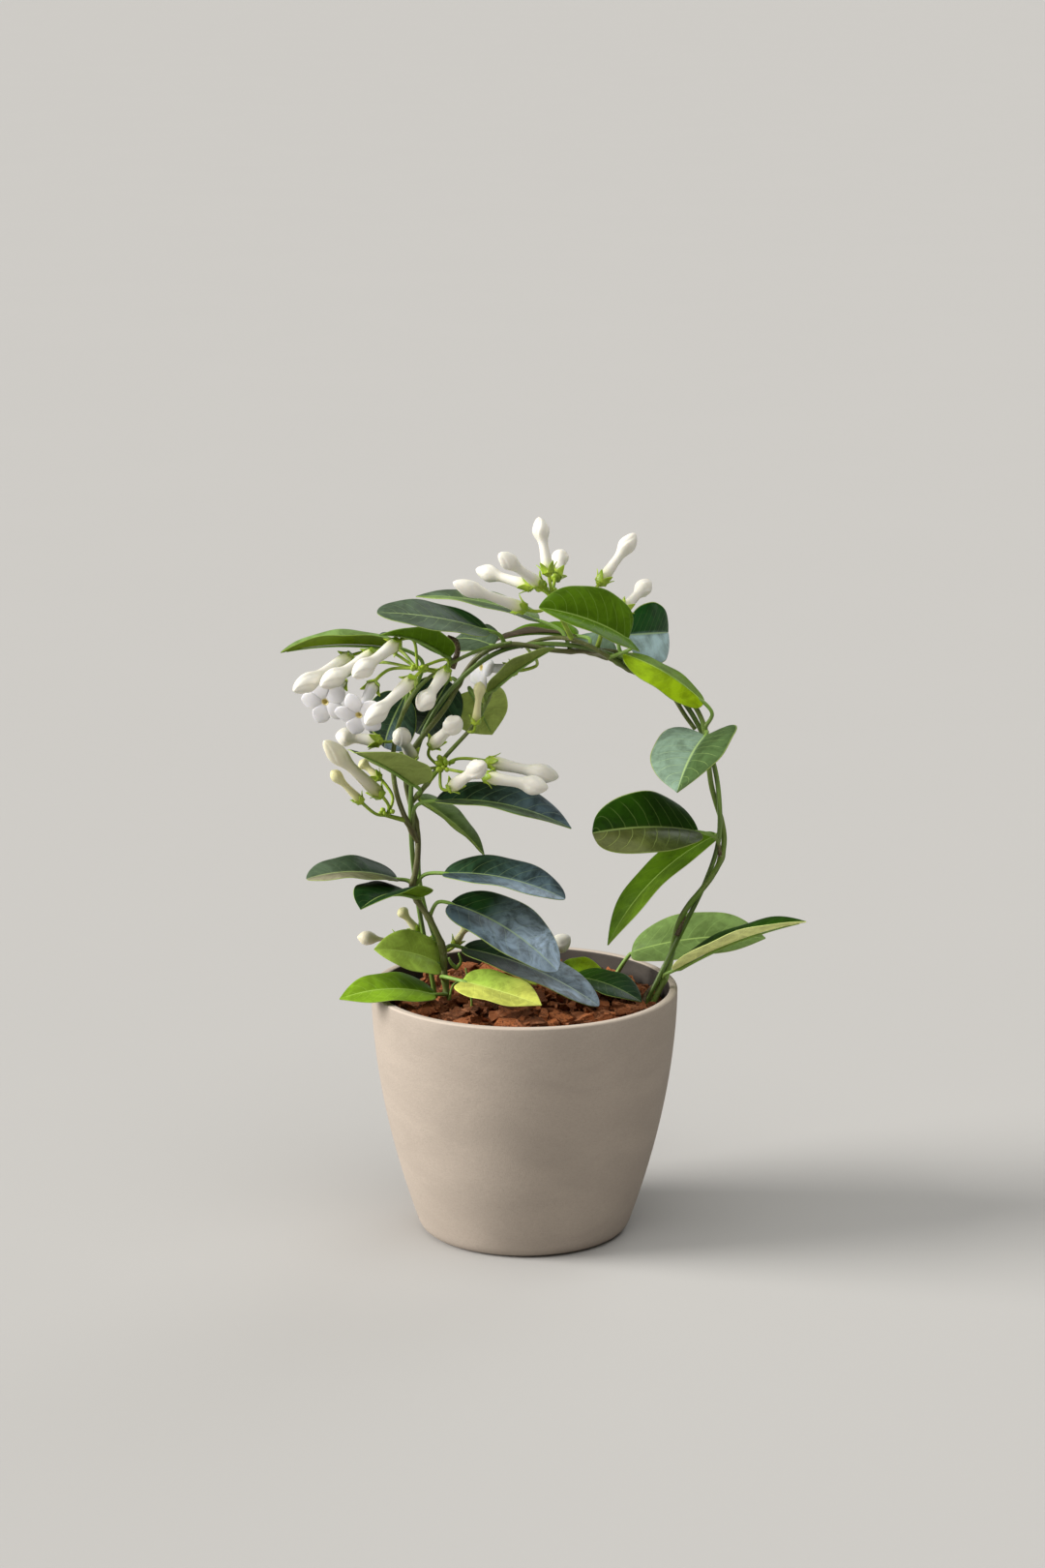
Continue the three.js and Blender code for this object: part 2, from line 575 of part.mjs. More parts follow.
// What the left stem carries as one with it: the stalks of the flower under the arch and of the bud on the
// outer branch, a young bud on the inner branch and a small leaf by the top.
function stemExtras() {
  const inner = FLOWERS.find(([, name]) => name === 'flower_inner');
  const outer = FLOWERS.find(([, name]) => name === 'bud_outer');
  const pale = ['', '', 'young', [-31, -15, 343], [-28, -18, 370]];
  const outerEnd = nearest(outerLine.getSpacedPoints(80), [-82, -13, 332]);
  const innerEnd = nearest(innerLine.getSpacedPoints(80), [-36, -11, 337]);
  const small = ['', [-16, -2, 388], [-20, 4, 389], [-46, 34, 387], 30, [0, -0.6, 0.8], 10, 3, 0];
  return joined([
    ...flowerFoot(fork([1, -6, 388]), vec(inner[3]), vec(inner[4]), 'open'),
    ...flowerFoot(outerEnd, vec(outer[3]), vec(outer[4]), 'bud'),
    ...flowerFoot(innerEnd, vec(pale[3]), vec(pale[4]), 'young'),
    corollaSolid(pale, 0.8),
    leafSolid(small),
  ]);
}

const group = new THREE.Group();

function place(name, solid, colour, roughness = 0.6) {
  const material = new THREE.MeshStandardMaterial({ color: COLOURS[colour], roughness });
  material.name = colour;
  const mesh = new THREE.Mesh(geometryOf(solid), material);
  mesh.name = name;
  group.add(mesh);
}

const hoop = limb(hoopLine, HOOP.steps, HOOP.sides, () => HOOP.radius);
const hoopRoom = limb(hoopLine, HOOP.steps, HOOP.sides, () => HOOP.radius, CLEAR);
const rightStem = largest(stemSolid(stems.right).subtract(hoopRoom));
const leftStem = largest(joined([
  ...['left', 'left_outer', 'left_inner', 'left_trail'].map((key) => stemSolid(stems[key])),
  stemExtras(),
]).subtract(hoopRoom));
const stemRoom = joined([...Object.values(stems).map((stem) => stemSolid(stem, CLEAR)), hoopRoom]);
const shootRoom = joined(SHOOTS.map(([, line, radius]) => limb(smooth(line), 6, 6, () => radius, CLEAR)));
const room = stemRoom.add(shootRoom);

place('pot', potShell(), 'pot', 0.85);
place('soil', filling(POT.floor + CLEAR, BED.top - BED.depth - CLEAR).subtract(room), 'soil', 0.95);
place('bark_mulch', largest(mulchBed().subtract(room)), 'bark', 0.9);
place('hoop', hoop, 'hoop', 0.4);
place('vine_left', leftStem, 'stem');
place('vine_right', rightStem, 'stem');
for (const leaf of LEAVES) {
  place(leaf[0], largest(leafSolid(leaf).subtract(stemRoom)), leaf[9], 0.35);
}
for (const shoot of SHOOTS) place(shoot[0], shootSolid(shoot), shoot[4], 0.35);
for (const name of Object.keys(SPRAYS)) {
  place(name, largest(spraySolid(name).subtract(stemRoom)), 'spray', 0.5);
}
for (const flower of FLOWERS.filter(([, name]) => name)) {
  place(flower[1], corollaSolid(flower), 'petal', 0.45);
}

export default group;
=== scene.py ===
"""A potted Madagascar jasmine on a wire hoop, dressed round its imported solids.

The file is laid out as an add-on: each operator models one group of like pieces in the place that the
frame gives it, and main calls them in order. Tables of places are in millimetres, +Z up, with the origin at
the centre of the pot's foot. Meshes are in metres.
"""

import json
import math
import random
from typing import NamedTuple

import bpy
import numpy as np
from bpy.props import FloatProperty, FloatVectorProperty, IntProperty, PointerProperty
from mathutils import Matrix, Vector


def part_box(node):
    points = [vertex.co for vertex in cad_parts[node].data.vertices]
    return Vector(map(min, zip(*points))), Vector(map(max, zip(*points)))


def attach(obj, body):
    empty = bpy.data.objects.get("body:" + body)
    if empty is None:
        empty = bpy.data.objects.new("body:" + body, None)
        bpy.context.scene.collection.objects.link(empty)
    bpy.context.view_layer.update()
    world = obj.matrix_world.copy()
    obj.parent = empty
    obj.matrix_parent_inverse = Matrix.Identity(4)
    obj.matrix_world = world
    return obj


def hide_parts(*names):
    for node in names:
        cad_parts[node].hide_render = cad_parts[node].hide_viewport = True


bl_info = {
    "name": "Potted Madagascar Jasmine",
    "version": (1, 0, 0),
    "blender": (4, 5, 0),
    "location": "View3D > Sidebar > Jasmine",
    "description": "Models a Madagascar jasmine on a hoop, in its pot, round the packed solids",
    "category": "Object",
}

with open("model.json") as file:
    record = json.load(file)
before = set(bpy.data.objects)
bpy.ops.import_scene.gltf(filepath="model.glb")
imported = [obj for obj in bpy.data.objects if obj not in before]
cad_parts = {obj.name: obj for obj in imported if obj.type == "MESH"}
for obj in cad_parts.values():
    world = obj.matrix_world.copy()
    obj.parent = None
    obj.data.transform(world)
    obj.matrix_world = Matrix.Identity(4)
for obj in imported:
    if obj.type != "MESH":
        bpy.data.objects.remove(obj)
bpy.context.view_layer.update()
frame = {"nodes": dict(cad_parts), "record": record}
MM = 0.001
GOLDEN_TURN = math.pi * (3 - math.sqrt(5))
FRAME_SLOTS = {row["slot"] for row in frame["record"]["materials"]}

HOOP_Y = -6
HOOP_ARCH = [
    (-52, 90), (-58, 156), (-69, 222), (-73, 265), (-72, 307), (-64, 336), (-42, 368), (-14, 388),
    (20, 392), (53, 386), (81, 372), (103, 353), (121, 316), (126, 284), (125, 260), (118, 237),
    (104, 206), (80, 155), (60, 112),
]
# The stems' wind round the hoop: how far out they lie, how often they go round, and where each starts.
TWINE = {"lay": 4.2, "turns": 7.5, "left_phase": -2.1, "right_phase": 1.04, "steps": 60}
LEFT_FOOT = [(-47, -14, 118), (-50, -12, 156), (-52, -12, 176), (-53, -12, 192), (-60, -14, 210)]
RIGHT_FOOT = [(63, -8, 112)]
OUTER_BRANCH = [
    (-77, -12, 280), (-83, -13, 300), (-84, -13, 323), (-79, -13, 345), (-67, -14, 366),
    (-47, -15, 381), (-26, -16, 391), (-8, -15, 395),
]
INNER_BRANCH = [(-62, -13, 303), (-52, -12, 318), (-32, -11, 341), (-23, -12, 358), (-19, -13, 369)]
TRAILING = [(-52, -5, 176), (-58, -3, 196), (-65, -1.5, 218), (-68.5, -1, 240), (-69, -1, 264)]

# The tints that the halves of a leaf and its underside are given, by name; several are painted sheen.
TINTS = {
    "night": (0.008, 0.030, 0.006),
    "bottle": (0.020, 0.048, 0.020),
    "ivy": (0.020, 0.066, 0.003),
    "emerald": (0.012, 0.072, 0.010),
    # Painted sheen: blue-grey to white reflections of the light on a glossy face.
    "slate": (0.064, 0.100, 0.108),
    "steel": (0.220, 0.290, 0.330),
    "silver": (0.340, 0.440, 0.500),
    "frost": (0.360, 0.500, 0.480),
    # A green greyed by painted sheen.
    "sage": (0.075, 0.112, 0.062),
    "mint": (0.205, 0.300, 0.205),
    "jade": (0.062, 0.108, 0.034),
    "fern": (0.165, 0.260, 0.070),
    "grass": (0.085, 0.175, 0.005),
    "leafy": (0.115, 0.205, 0.012),
    "fresh": (0.200, 0.350, 0.018),
    "lime": (0.300, 0.460, 0.006),
    "pistachio": (0.360, 0.520, 0.070),
    "willow": (0.430, 0.540, 0.130),
    "straw": (0.530, 0.560, 0.100),
    "pear": (0.780, 0.830, 0.300),
    "celery": (0.270, 0.340, 0.085),
    "moss": (0.165, 0.220, 0.040),
    "olive": (0.120, 0.190, 0.004),
    "moor": (0.062, 0.092, 0.018),
    "khaki": (0.090, 0.105, 0.025),
    "ash": (0.225, 0.212, 0.130),
    "taupe": (0.215, 0.160, 0.110),
}


class Leaf(NamedTuple):
    """A leaf: where its stalk springs, where the blade begins, its tip, its width and the way its face looks.

    Then come the degrees that each half is raised, the height of its arch and the reach of its base lobes.
    The tints are those of the far and the near half at the base, the same two at the tip, and the underside.
    Besides the leaf's own colour, the halves' tints paint the sheen and shade that each half catches.
    """

    spring: tuple
    base: tuple
    tip: tuple
    width: float
    face: tuple
    fold: float
    arch: float
    lobe: float
    slot: str
    tints: str
    veins: float = 0.25
    outline: str = "long"
    twist: float = 0


LEAVES = {
    "leaf_left_far": Leaf(
        (-74, -12, 354), (-79, 4, 387), (-156, -4, 386), 40, (0, 0.08, 1), 46, 4, 0,
        "leaf_mid", "fern olive fern olive olive", 0.15,
    ),
    "leaf_left_under": Leaf(
        (-46, -8, 377), (-48, -14, 385), (-91, -44, 405), 38, (0.1, 0.45, 0.9), 24, 5, 0,
        "leaf_mid", "bottle sage sage sage grass", 0.3,
    ),
    "leaf_left_top": Leaf(
        (-12, -8, 389), (-23, -12, 402), (-93, -32, 417), 45, (0, -0.28, 1), 6, 3, 0,
        "leaf_dark", "night sage sage sage moss", 0.5, "blunt",
    ),
    "leaf_top_edge": Leaf(
        (29, -2, 390), (9, 6, 405), (-70, 26, 417), 38, (0, -0.05, 1), 14, 5, 0,
        "leaf_dark", "fern sage sage fern moss", 0.4,
    ),
    "leaf_top_back": Leaf(
        (40, 0, 389), (34, 16, 393), (-18, 36, 386), 36, (0, 0.05, 1), 30, 4, 0,
        "leaf_mid", "grass grass grass grass taupe", 0.1,
    ),
    "leaf_inner_up": Leaf(
        (-24, -10, 357), (-23, -14, 362), (19, -30, 394), 34, (-0.5, 0.3, 0.8), 30, 2, 0,
        "leaf_mid", "sage sage sage sage moss", 0.2, "spoon",
    ),
    "leaf_crown": Leaf(
        (52, -8, 380), (66, -18, 397), (9, -46, 423), 58, (0, -0.6, 0.8), 38, 4, 0.1,
        "leaf_bright", "grass grass grass grass moss", 0.6, "egg",
    ),
    "leaf_crown_back": Leaf(
        (66, -2, 378), (65, 4, 396), (93, 34, 392), 44, (0, -1, 0.2), 22, 3, 0,
        "leaf_dark", "emerald frost emerald frost moss", 0.5, "blunt",
    ),
    "leaf_crown_under": Leaf(
        (58, -6, 380), (58, 10, 380), (30, 20, 389), 24, (0, -0.5, 0.9), 20, 3, 0,
        "leaf_mid", "mint ash mint ash ash", 0.2,
    ),
    "leaf_right_arch": Leaf(
        (114, -8, 337), (115, -12, 355), (63, -8, 386), 33, (0.4, -0.5, 0.8), -32, 5, 0,
        "leaf_young", "leafy lime leafy lime moss", 0.15, "blunt",
    ),
    "leaf_right_heart": Leaf(
        (115, -8, 335), (116, -18, 335), (96, -68, 309), 58, (-0.45, -0.85, 0.3), 20, 4, 0.2,
        "leaf_mid", "mint jade mint jade moss", 0.8, "heart",
    ),
    "leaf_right_big": Leaf(
        (130, -8, 251), (112, -16, 271), (43, -52, 279), 54, (0, -0.72, 0.65), 32, 6, 0,
        "leaf_dark", "ivy moor ivy khaki moss", 0.7, "round", 36,
    ),
    "leaf_right_hang": Leaf(
        (126, -6, 253), (125, 2, 265), (54, -18, 196), 38, (-0.6, -0.3, 0.7), 14, 10, 0,
        "leaf_bright", "grass grass grass leafy moss", 0.15,
    ),
    "leaf_right_low": Leaf(
        (88, -8, 172), (97, -14, 178), (181, -34, 216), 46, (0, 0.08, 1), 36, 4, 0,
        "leaf_bright", "ivy grass ivy grass pear", 0.25,
    ),
    "leaf_mid_right": Leaf(
        (-71, -8, 270), (-57, -14, 291), (30, -32, 277), 46, (0, -0.2, 1), 28, 7, 0,
        "leaf_blue", "bottle jade slate jade moss", 0.5,
    ),
    "leaf_mid_back": Leaf(
        (-72, -6, 275), (-69, 2, 289), (-26, 5, 250), 33, (0.67, -0.17, 0.74), 24, 3, 0,
        "leaf_mid", "fern lime fern lime moss", 0.2,
    ),
    "leaf_right_3": Leaf(
        (-70, -8, 231), (-52, -14, 243), (26, -38, 232), 41, (0, -0.3, 1), 24, 6, 0,
        "leaf_blue", "bottle slate slate steel moss", 0.45, "blunt",
    ),
    "leaf_right_4": Leaf(
        (-62, -8, 213), (-48, -14, 223), (21, -44, 186), 50, (0.3, -0.6, 1), 16, 8, 0,
        "leaf_blue", "night slate silver steel moss", 0.3, "blunt",
    ),
    "leaf_right_5": Leaf(
        (-52, -8, 191), (-40, -6, 191), (48, -32, 159), 48, (0.2, -0.2, 1), 14, 6, 0,
        "leaf_blue", "night night steel steel moss", 0.3, "blunt",
    ),
    "leaf_young_right": Leaf(
        (-52, -12, 170), (-40, -43, 179), (11, -68, 170), 39, (0.1, -0.3, 1), 12, 1, 0.05,
        "leaf_young", "pistachio straw straw straw straw", 0.3, "heart",
    ),
    "leaf_rim_left": Leaf(
        (-50, -12, 161), (-58, -22, 164), (-119, -40, 166), 35, (0, -0.35, 1), 12, 6, 0,
        "leaf_bright", "grass fresh fresh fresh moss", 0.3,
    ),
    "leaf_young_left": Leaf(
        (-52, -9, 185), (-55, -9, 181), (-97, -28, 196), 34, (0, -0.7, 0.7), 24, 5, 0.05,
        "leaf_bright", "pistachio pistachio pistachio pistachio moss", 0.3,
    ),
    "leaf_left_low": Leaf(
        (-70, -8, 235), (-82, -10, 238), (-140, -26, 242), 42, (0, -0.15, 1), 18, 5, 0,
        "leaf_dark", "night khaki sage ash moss", 0.2, "blunt",
    ),
    "leaf_left_turn": Leaf(
        (-68, -8, 225), (-68, -14, 227), (-104, -60, 231), 50, (0.1, 0.25, 1), 26, 6, 0.04,
        "leaf_mid", "night night night night leafy", 0.2,
    ),
    "leaf_left_wing": Leaf(
        (-73, -8, 296), (-70, -18, 302), (-107, -60, 333), 56, (0.25, 0.4, 0.8), 24, 2, 0,
        "leaf_mid", "night night bottle bottle celery", 0.2,
    ),
    "leaf_hang_left": Leaf(
        (-73, 0, 350), (-77, 5, 356), (-91, 27, 317), 38, (-0.2, -0.9, 0.3), 14, 5, 0.04,
        "leaf_blue", "bottle bottle bottle slate moss", 0.3,
    ),
    "leaf_hang_mid": Leaf(
        (-45, 0, 366), (-49, 4, 366), (-70, 30, 326), 42, (0.1, -0.9, 0.3), 14, 5, 0.04,
        "leaf_blue", "bottle bottle bottle bottle moss", 0.3,
    ),
    "leaf_olive": Leaf(
        (-32, 0, 355), (-35, 6, 359), (-21, 30, 325), 40, (-0.2, 0.9, 0.3), 10, 3, 0.04,
        "leaf_young", "willow willow willow willow willow", 0.3,
    ),
}
SMALL_LEAF = Leaf(
    (-16, -2, 388), (-20, 4, 389), (-46, 34, 387), 30, (0, -0.6, 0.8), 10, 3, 0,
    "leaf_mid", "sage sage sage sage moss",
)
# Leaves on shoots of their own: the shoot's line and radius, then its leaves, the end one first.
SHOOT_LEAVES = {
    "leaf_soil_right": (
        [(58, 43, 128), (60, 42, 156), (65, 40, 167), (71, 38, 176)], 2.2,
        Leaf(
            (0, 0, 0), (71, 38, 176), (158, 14, 192), 46, (0, -0.5, 0.85), 20, 6, 0,
            "leaf_bright", "fern fern fern fern moss", 0.4,
        ),
    ),
    "leaf_shoot": (
        [(20, 17, 128), (20, 17, 156), (23, 15, 164), (31, 10, 167)], 1.6,
        Leaf(
            (0, 0, 0), (31, 10, 167), (76, -22, 159), 31, (0.1, -0.3, 1), 14, 4, 0,
            "leaf_dark", "ivy ivy bottle bottle moss", 0.5,
        ),
        Leaf(
            (0, 0, 0), (21, 17, 161), (52, 16, 169), 28, (-0.2, -0.6, 0.8), 12, 3, 0,
            "leaf_bright", "fresh fresh lime lime moss", 0.4,
        ),
    ),
}

# Each spray: where it springs and its hub, then its flowers with their kind, the foot and the tip of each.
# A flower with no name of its own belongs to its spray's piece.
SPRAYS = {
    "spray_top": ((29, -8, 391), (17, -16, 424), [
        ("bud_top_1", "bud", (-1, -20, 418), (-45, -34, 437)),
        ("bud_top_2", "bud", (3, -12, 431), (-31, 2, 439)),
        ("bud_top_3", "bud", (9, -22, 434), (-16, -38, 456)),
        ("bud_top_4", "bud", (15, -16, 441), (9, -6, 474)),
        ("", "bud", (20, -6, 436), (24, 22, 447)),
    ]),
    "spray_top_right": ((47, -6, 387), (53, -4, 410), [
        ("bud_right_1", "bud", (49, -2, 432), (71, 10, 461)),
        ("", "bud", (63, 4, 412), (81, 28, 427)),
    ]),
    "spray_left": ((-54, -15, 376), (-68, -20, 379), [
        ("bud_left_1", "bud", (-81, -34, 398), (-107, -66, 383)),
        ("", "bud", (-97, -14, 387), (-128, -52, 374)),
        ("bud_left_3", "bud", (-113, 0, 382), (-145, -52, 371)),
        ("flower_left_1", "open", (-118, 8, 365), (-127, -24, 358)),
        ("flower_left_2", "open", (-96, -30, 370), (-104, -60, 357)),
        ("bud_left_4", "bud", (-71, -48, 377), (-99, -82, 356)),
        ("bud_left_5", "bud", (-50, -30, 379), (-66, -58, 360)),
    ]),
    "spray_low_left": ((-77, -12, 276), (-88, -17, 282), [
        ("", "cream", (-93, -20, 297), (-127, -44, 337)),
        ("", "young", (-94, -7, 305), (-106, -3, 315)),
        ("", "young", (-105, -26, 294), (-123, -32, 315)),
    ]),
    "spray_mid": ((-63, -10, 303), (-54, -18, 314), [
        ("bud_mid_1", "bud", (-72, -14, 320), (-80, -36, 342)),
        ("bud_mid_2", "bud", (-58, -26, 331), (-41, -52, 353)),
        ("bud_mid_3", "bud", (-46, -34, 305), (-25, -60, 326)),
        ("bud_mid_4", "bud", (-24, -36, 312), (15, -50, 308)),
        ("bud_mid_5", "bud", (-22, -20, 318), (22, -24, 309)),
    ]),
    "spray_base": ((-51, -10, 197), (-60, 6, 195), [
        ("", "slim", (-82, 8, 192), (-109, 2, 196)),
        ("", "young", (-45, 9, 190), (-36, 6, 205)),
        ("", "young", (-70, -2, 202), (-81, -4, 217)),
    ]),
}
# Flowers on the left stem's own branches.
STEM_FLOWERS = [
    ("bud_outer", "bud", (-94, -16, 331), (-121, -14, 334), (-82, -13, 332)),
    ("flower_inner", "open", (-7, 20, 370), (-28, 9, 374), (1, -6, 388)),
    ("", "young", (-31, -15, 343), (-28, -18, 370), (-36, -11, 337)),
]

# A bud that stands on a leafy shoot of its own: where its stalk springs, its foot and its tip.
SHOOT_BUDS = {"leaf_shoot": ((20, 17, 158), (4, 24, 172), (30, 18, 192))}

# The girth of a spray's full buds, where they are slimmer than elsewhere.
GIRTH = {"spray_top": 0.88, "spray_top_right": 0.88}
# Where tiny green buds crowd on a spray: the middle of the crowd, how many, and how long they are.
BUDLETS = {
    "spray_top": ((15, -14, 427), 11, 5.5), "spray_top_right": ((50, -4, 409), 3, 4),
    "spray_left": ((-68, -20, 378), 7, 5.5), "spray_low_left": ((-88, -17, 282), 4, 4.5),
    "spray_mid": ((-50, -20, 314), 14, 6.5), "spray_base": ((-60, 4, 195), 4, 4.5),
}
# Ends of old stems and stray shoots: the points of each, its radius at the root and the tip, and its age.
STUBS = {
    "vine_left": [
        (
            [(-46, -14, 378), (-44.2, -14, 383), (-42.6, -13, 389), (-43.6, -13, 395), (-49, -14, 398)],
            2.1, 1.7, 1.0,
        ),
        ([(-44, -12, 179), (-47.5, -14, 183), (-49, -15, 187)], 1.5, 0.8, 0.0),
        ([(-44, -12, 179), (-41, -17, 185), (-42.5, -19, 191)], 1.3, 0.7, 0.0),
        ([(-50, -12, 150), (-48.5, -17, 160), (-46, -20, 170), (-40, -24, 175)], 1.0, 0.6, 0.0),
        ([(-36, -22, 150), (-34, -28, 160), (-36, -28, 172), (-38, -26, 183)], 0.9, 0.5, 0.1),
    ],
    "vine_right": [
        ([(77, -8, 152), (79.5, -5, 159), (84, -4, 164), (88.5, -4, 167)], 1.8, 1.6, 0.95),
        ([(99, -9, 200), (102, -6, 206), (105, -5, 212)], 1.7, 1.3, 0.9),
    ],
}

# Radii along a corolla from its foot to its tip, in millimetres, each at its share of the length.
COROLLA = {
    "bud": [
        (0, 3.8), (0.05, 4.3), (0.15, 4.2), (0.3, 3.7), (0.44, 3.4), (0.52, 3.5), (0.58, 4.1), (0.65, 5.2),
        (0.72, 6.0), (0.79, 5.9), (0.86, 5.0), (0.92, 3.7), (0.97, 2.1), (1, 0.3),
    ],
    "young": [
        (0, 2.6), (0.05, 2.9), (0.3, 2.4), (0.52, 2.1), (0.64, 2.6), (0.74, 3.5), (0.84, 3.9), (0.92, 3.0),
        (0.97, 1.6), (1, 0.3),
    ],
    "slim": [
        (0, 1.4), (0.2, 1.2), (0.42, 1.3), (0.52, 2.0), (0.62, 3.6), (0.75, 4.6), (0.86, 4.1), (0.94, 2.4),
        (1, 0.3),
    ],
    "open": [(0, 3.6), (0.05, 4.0), (0.25, 3.6), (0.5, 3.1), (0.8, 3.0), (0.92, 3.3)],
}
COROLLA["cream"] = COROLLA["bud"]
# The length that a corolla is modelled at, before it is copied and stretched to its flower.
FORM_LENGTH = 40
# The parts in a ring of a flower: lobes, petals or sepals.
LOBES = 5
# The throat of an open flower: radii, and heights from the top of its tube.
THROAT = [(3.1, -1.4), (2.9, -0.5), (2.0, -0.1), (1.6, -1), (1.3, -3), (0.3, -3.6)]
# The cup of a calyx: radii and heights from its foot up.
CUP = [(0.5, -3.6), (1.5, -3.4), (2.5, -2.7), (3.3, -1.6), (3.75, -0.4), (3.8, 0.5), (3.0, 0.9), (0.4, 0.9)]


class PotSizes(bpy.types.PropertyGroup):
    """Sizes of the pot and of what covers its soil."""

    height: FloatProperty(
        name="Height", description="Height of the pot", default=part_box("pot")[1].z, min=0.05, unit="LENGTH"
    )
    rim: FloatProperty(
        name="Rim radius", description="Outer radius of the rim", default=100 * MM, min=0.03, unit="LENGTH"
    )
    sides: IntProperty(name="Sides", description="Corners round the turned pot", default=128, min=24)
    chips: IntProperty(name="Bark chips", description="Number of bark chips on the soil", default=460, min=20)
    chip: FloatProperty(
        name="Chip length", description="Length of a middling bark chip",
        default=17 * MM, min=0.002, unit="LENGTH",
    )


class PlantSizes(bpy.types.PropertyGroup):
    """Sizes of what grows and of what it climbs."""

    wire: FloatProperty(
        name="Wire radius", description="Radius of the hoop's wire",
        default=1.6 * MM, min=0.0005, unit="LENGTH",
    )
    blade: FloatProperty(
        name="Leaf thickness", description="Thickness of a leaf's blade",
        default=0.7 * MM, min=0.0001, unit="LENGTH",
    )
    petiole: FloatProperty(
        name="Leaf stalk radius", description="Radius of a leaf's stalk",
        default=1.25 * MM, min=0.0003, unit="LENGTH",
    )
    twist: FloatProperty(
        name="Bud twist", description="Turn of the lobes round a bud's head", default=1.5, subtype="ANGLE"
    )
    petal: FloatProperty(
        name="Petal reach", description="Share of an open flower's length that its petals reach out",
        default=0.45, min=0.1, max=1,
    )


class Finishes(bpy.types.PropertyGroup):
    """Colours of the main finishes."""

    pot: FloatVectorProperty(
        name="Pot", description="Stone-like body of the pot",
        default=(0.435, 0.37, 0.31), size=3, subtype="COLOR",
    )
    bark: FloatVectorProperty(
        name="Bark", description="Fresh face of a bark chip",
        default=(0.38, 0.125, 0.042), size=3, subtype="COLOR",
    )
    wire: FloatVectorProperty(
        name="Wire", description="Coated wire of the hoop",
        default=(0.115, 0.19, 0.03), size=3, subtype="COLOR",
    )
    petal: FloatVectorProperty(
        name="Petal", description="Waxy white of the flowers",
        default=(0.86, 0.83, 0.74), size=3, subtype="COLOR",
    )
    floor: FloatVectorProperty(
        name="Floor", description="Pale floor of the studio",
        default=(0.47, 0.46, 0.445), size=3, subtype="COLOR",
    )


def deselect():
    """Leaves object mode with nothing selected."""
    if bpy.context.object and bpy.context.object.mode != "OBJECT":
        bpy.ops.object.mode_set(mode="OBJECT")
    bpy.ops.object.select_all(action="DESELECT")


def only(piece):
    """Selects one object and makes it active."""
    deselect()
    piece.select_set(True)
    bpy.context.view_layer.objects.active = piece


def places(piece):
    """The vertices of a mesh as rows of x, y and z."""
    flat = np.empty(len(piece.data.vertices) * 3)
    piece.data.vertices.foreach_get("co", flat)
    return flat.reshape(-1, 3)


def move_to(piece, rows):
    piece.data.vertices.foreach_set("co", np.asarray(rows, float).ravel())
    piece.data.update()


def mark(piece, name, values):
    """Gives every vertex a number that a finish reads by its name."""
    layer = piece.data.attributes.get(name) or piece.data.attributes.new(name, "FLOAT", "POINT")
    layer.data.foreach_set("value", np.broadcast_to(values, len(piece.data.vertices)).astype(np.float32))


def tint(piece, name, rows):
    """Gives every vertex a colour that a finish reads by its name."""
    layer = piece.data.attributes.get(name) or piece.data.attributes.new(name, "FLOAT_COLOR", "POINT")
    rows = np.broadcast_to(rows, (len(piece.data.vertices), 3))
    layer.data.foreach_set("color", np.hstack([rows, np.ones((len(rows), 1))]).astype(np.float32).ravel())


def held(piece, name):
    """The numbers that the vertices hold under a name."""
    values = np.empty(len(piece.data.vertices), np.float32)
    piece.data.attributes[name].data.foreach_get("value", values)
    return values


def finish_with(piece, *materials):
    piece.data.materials.clear()
    for material in materials:
        piece.data.materials.append(material)


def smooth(piece):
    only(piece)
    bpy.ops.object.shade_smooth()


def dress(piece, *materials, **numbers):
    """Lays numbers on the vertices of a piece, gives it its materials and smooths it."""
    for name, values in numbers.items():
        mark(piece, name, values)
    finish_with(piece, *materials)
    smooth(piece)


def apply(piece, kind, **settings):
    """Adds a modifier and applies it."""
    only(piece)
    modifier = piece.modifiers.new(kind.title(), kind)
    for key, value in settings.items():
        setattr(modifier, key, value)
    bpy.ops.object.modifier_apply(modifier=modifier.name)


def close_up(piece):
    """Merges doubled points and turns the faces outwards."""
    only(piece)
    bpy.ops.object.mode_set(mode="EDIT")
    bpy.ops.mesh.select_all(action="SELECT")
    bpy.ops.mesh.remove_doubles(threshold=1e-6)
    bpy.ops.mesh.normals_make_consistent(inside=False)
    bpy.ops.object.mode_set(mode="OBJECT")


def join(pieces, name):
    """One object out of several."""
    deselect()
    for piece in pieces:
        piece.select_set(True)
    bpy.context.view_layer.objects.active = pieces[0]
    if len(pieces) > 1:
        bpy.ops.object.join()
    pieces[0].name = name
    return pieces[0]


def settle(piece, node, slot):
    """Hands a finished piece to the frame: it rides on the root and stands for its node; its slot must be one
    of the frame's.
    """
    if slot not in FRAME_SLOTS:
        raise RuntimeError(f"no material slot named {slot}")
    piece.name = f"{node}_fine"
    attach(piece, "root")
    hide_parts(node)


def unit(vector):
    vector = np.asarray(vector, float)
    return vector / np.linalg.norm(vector)


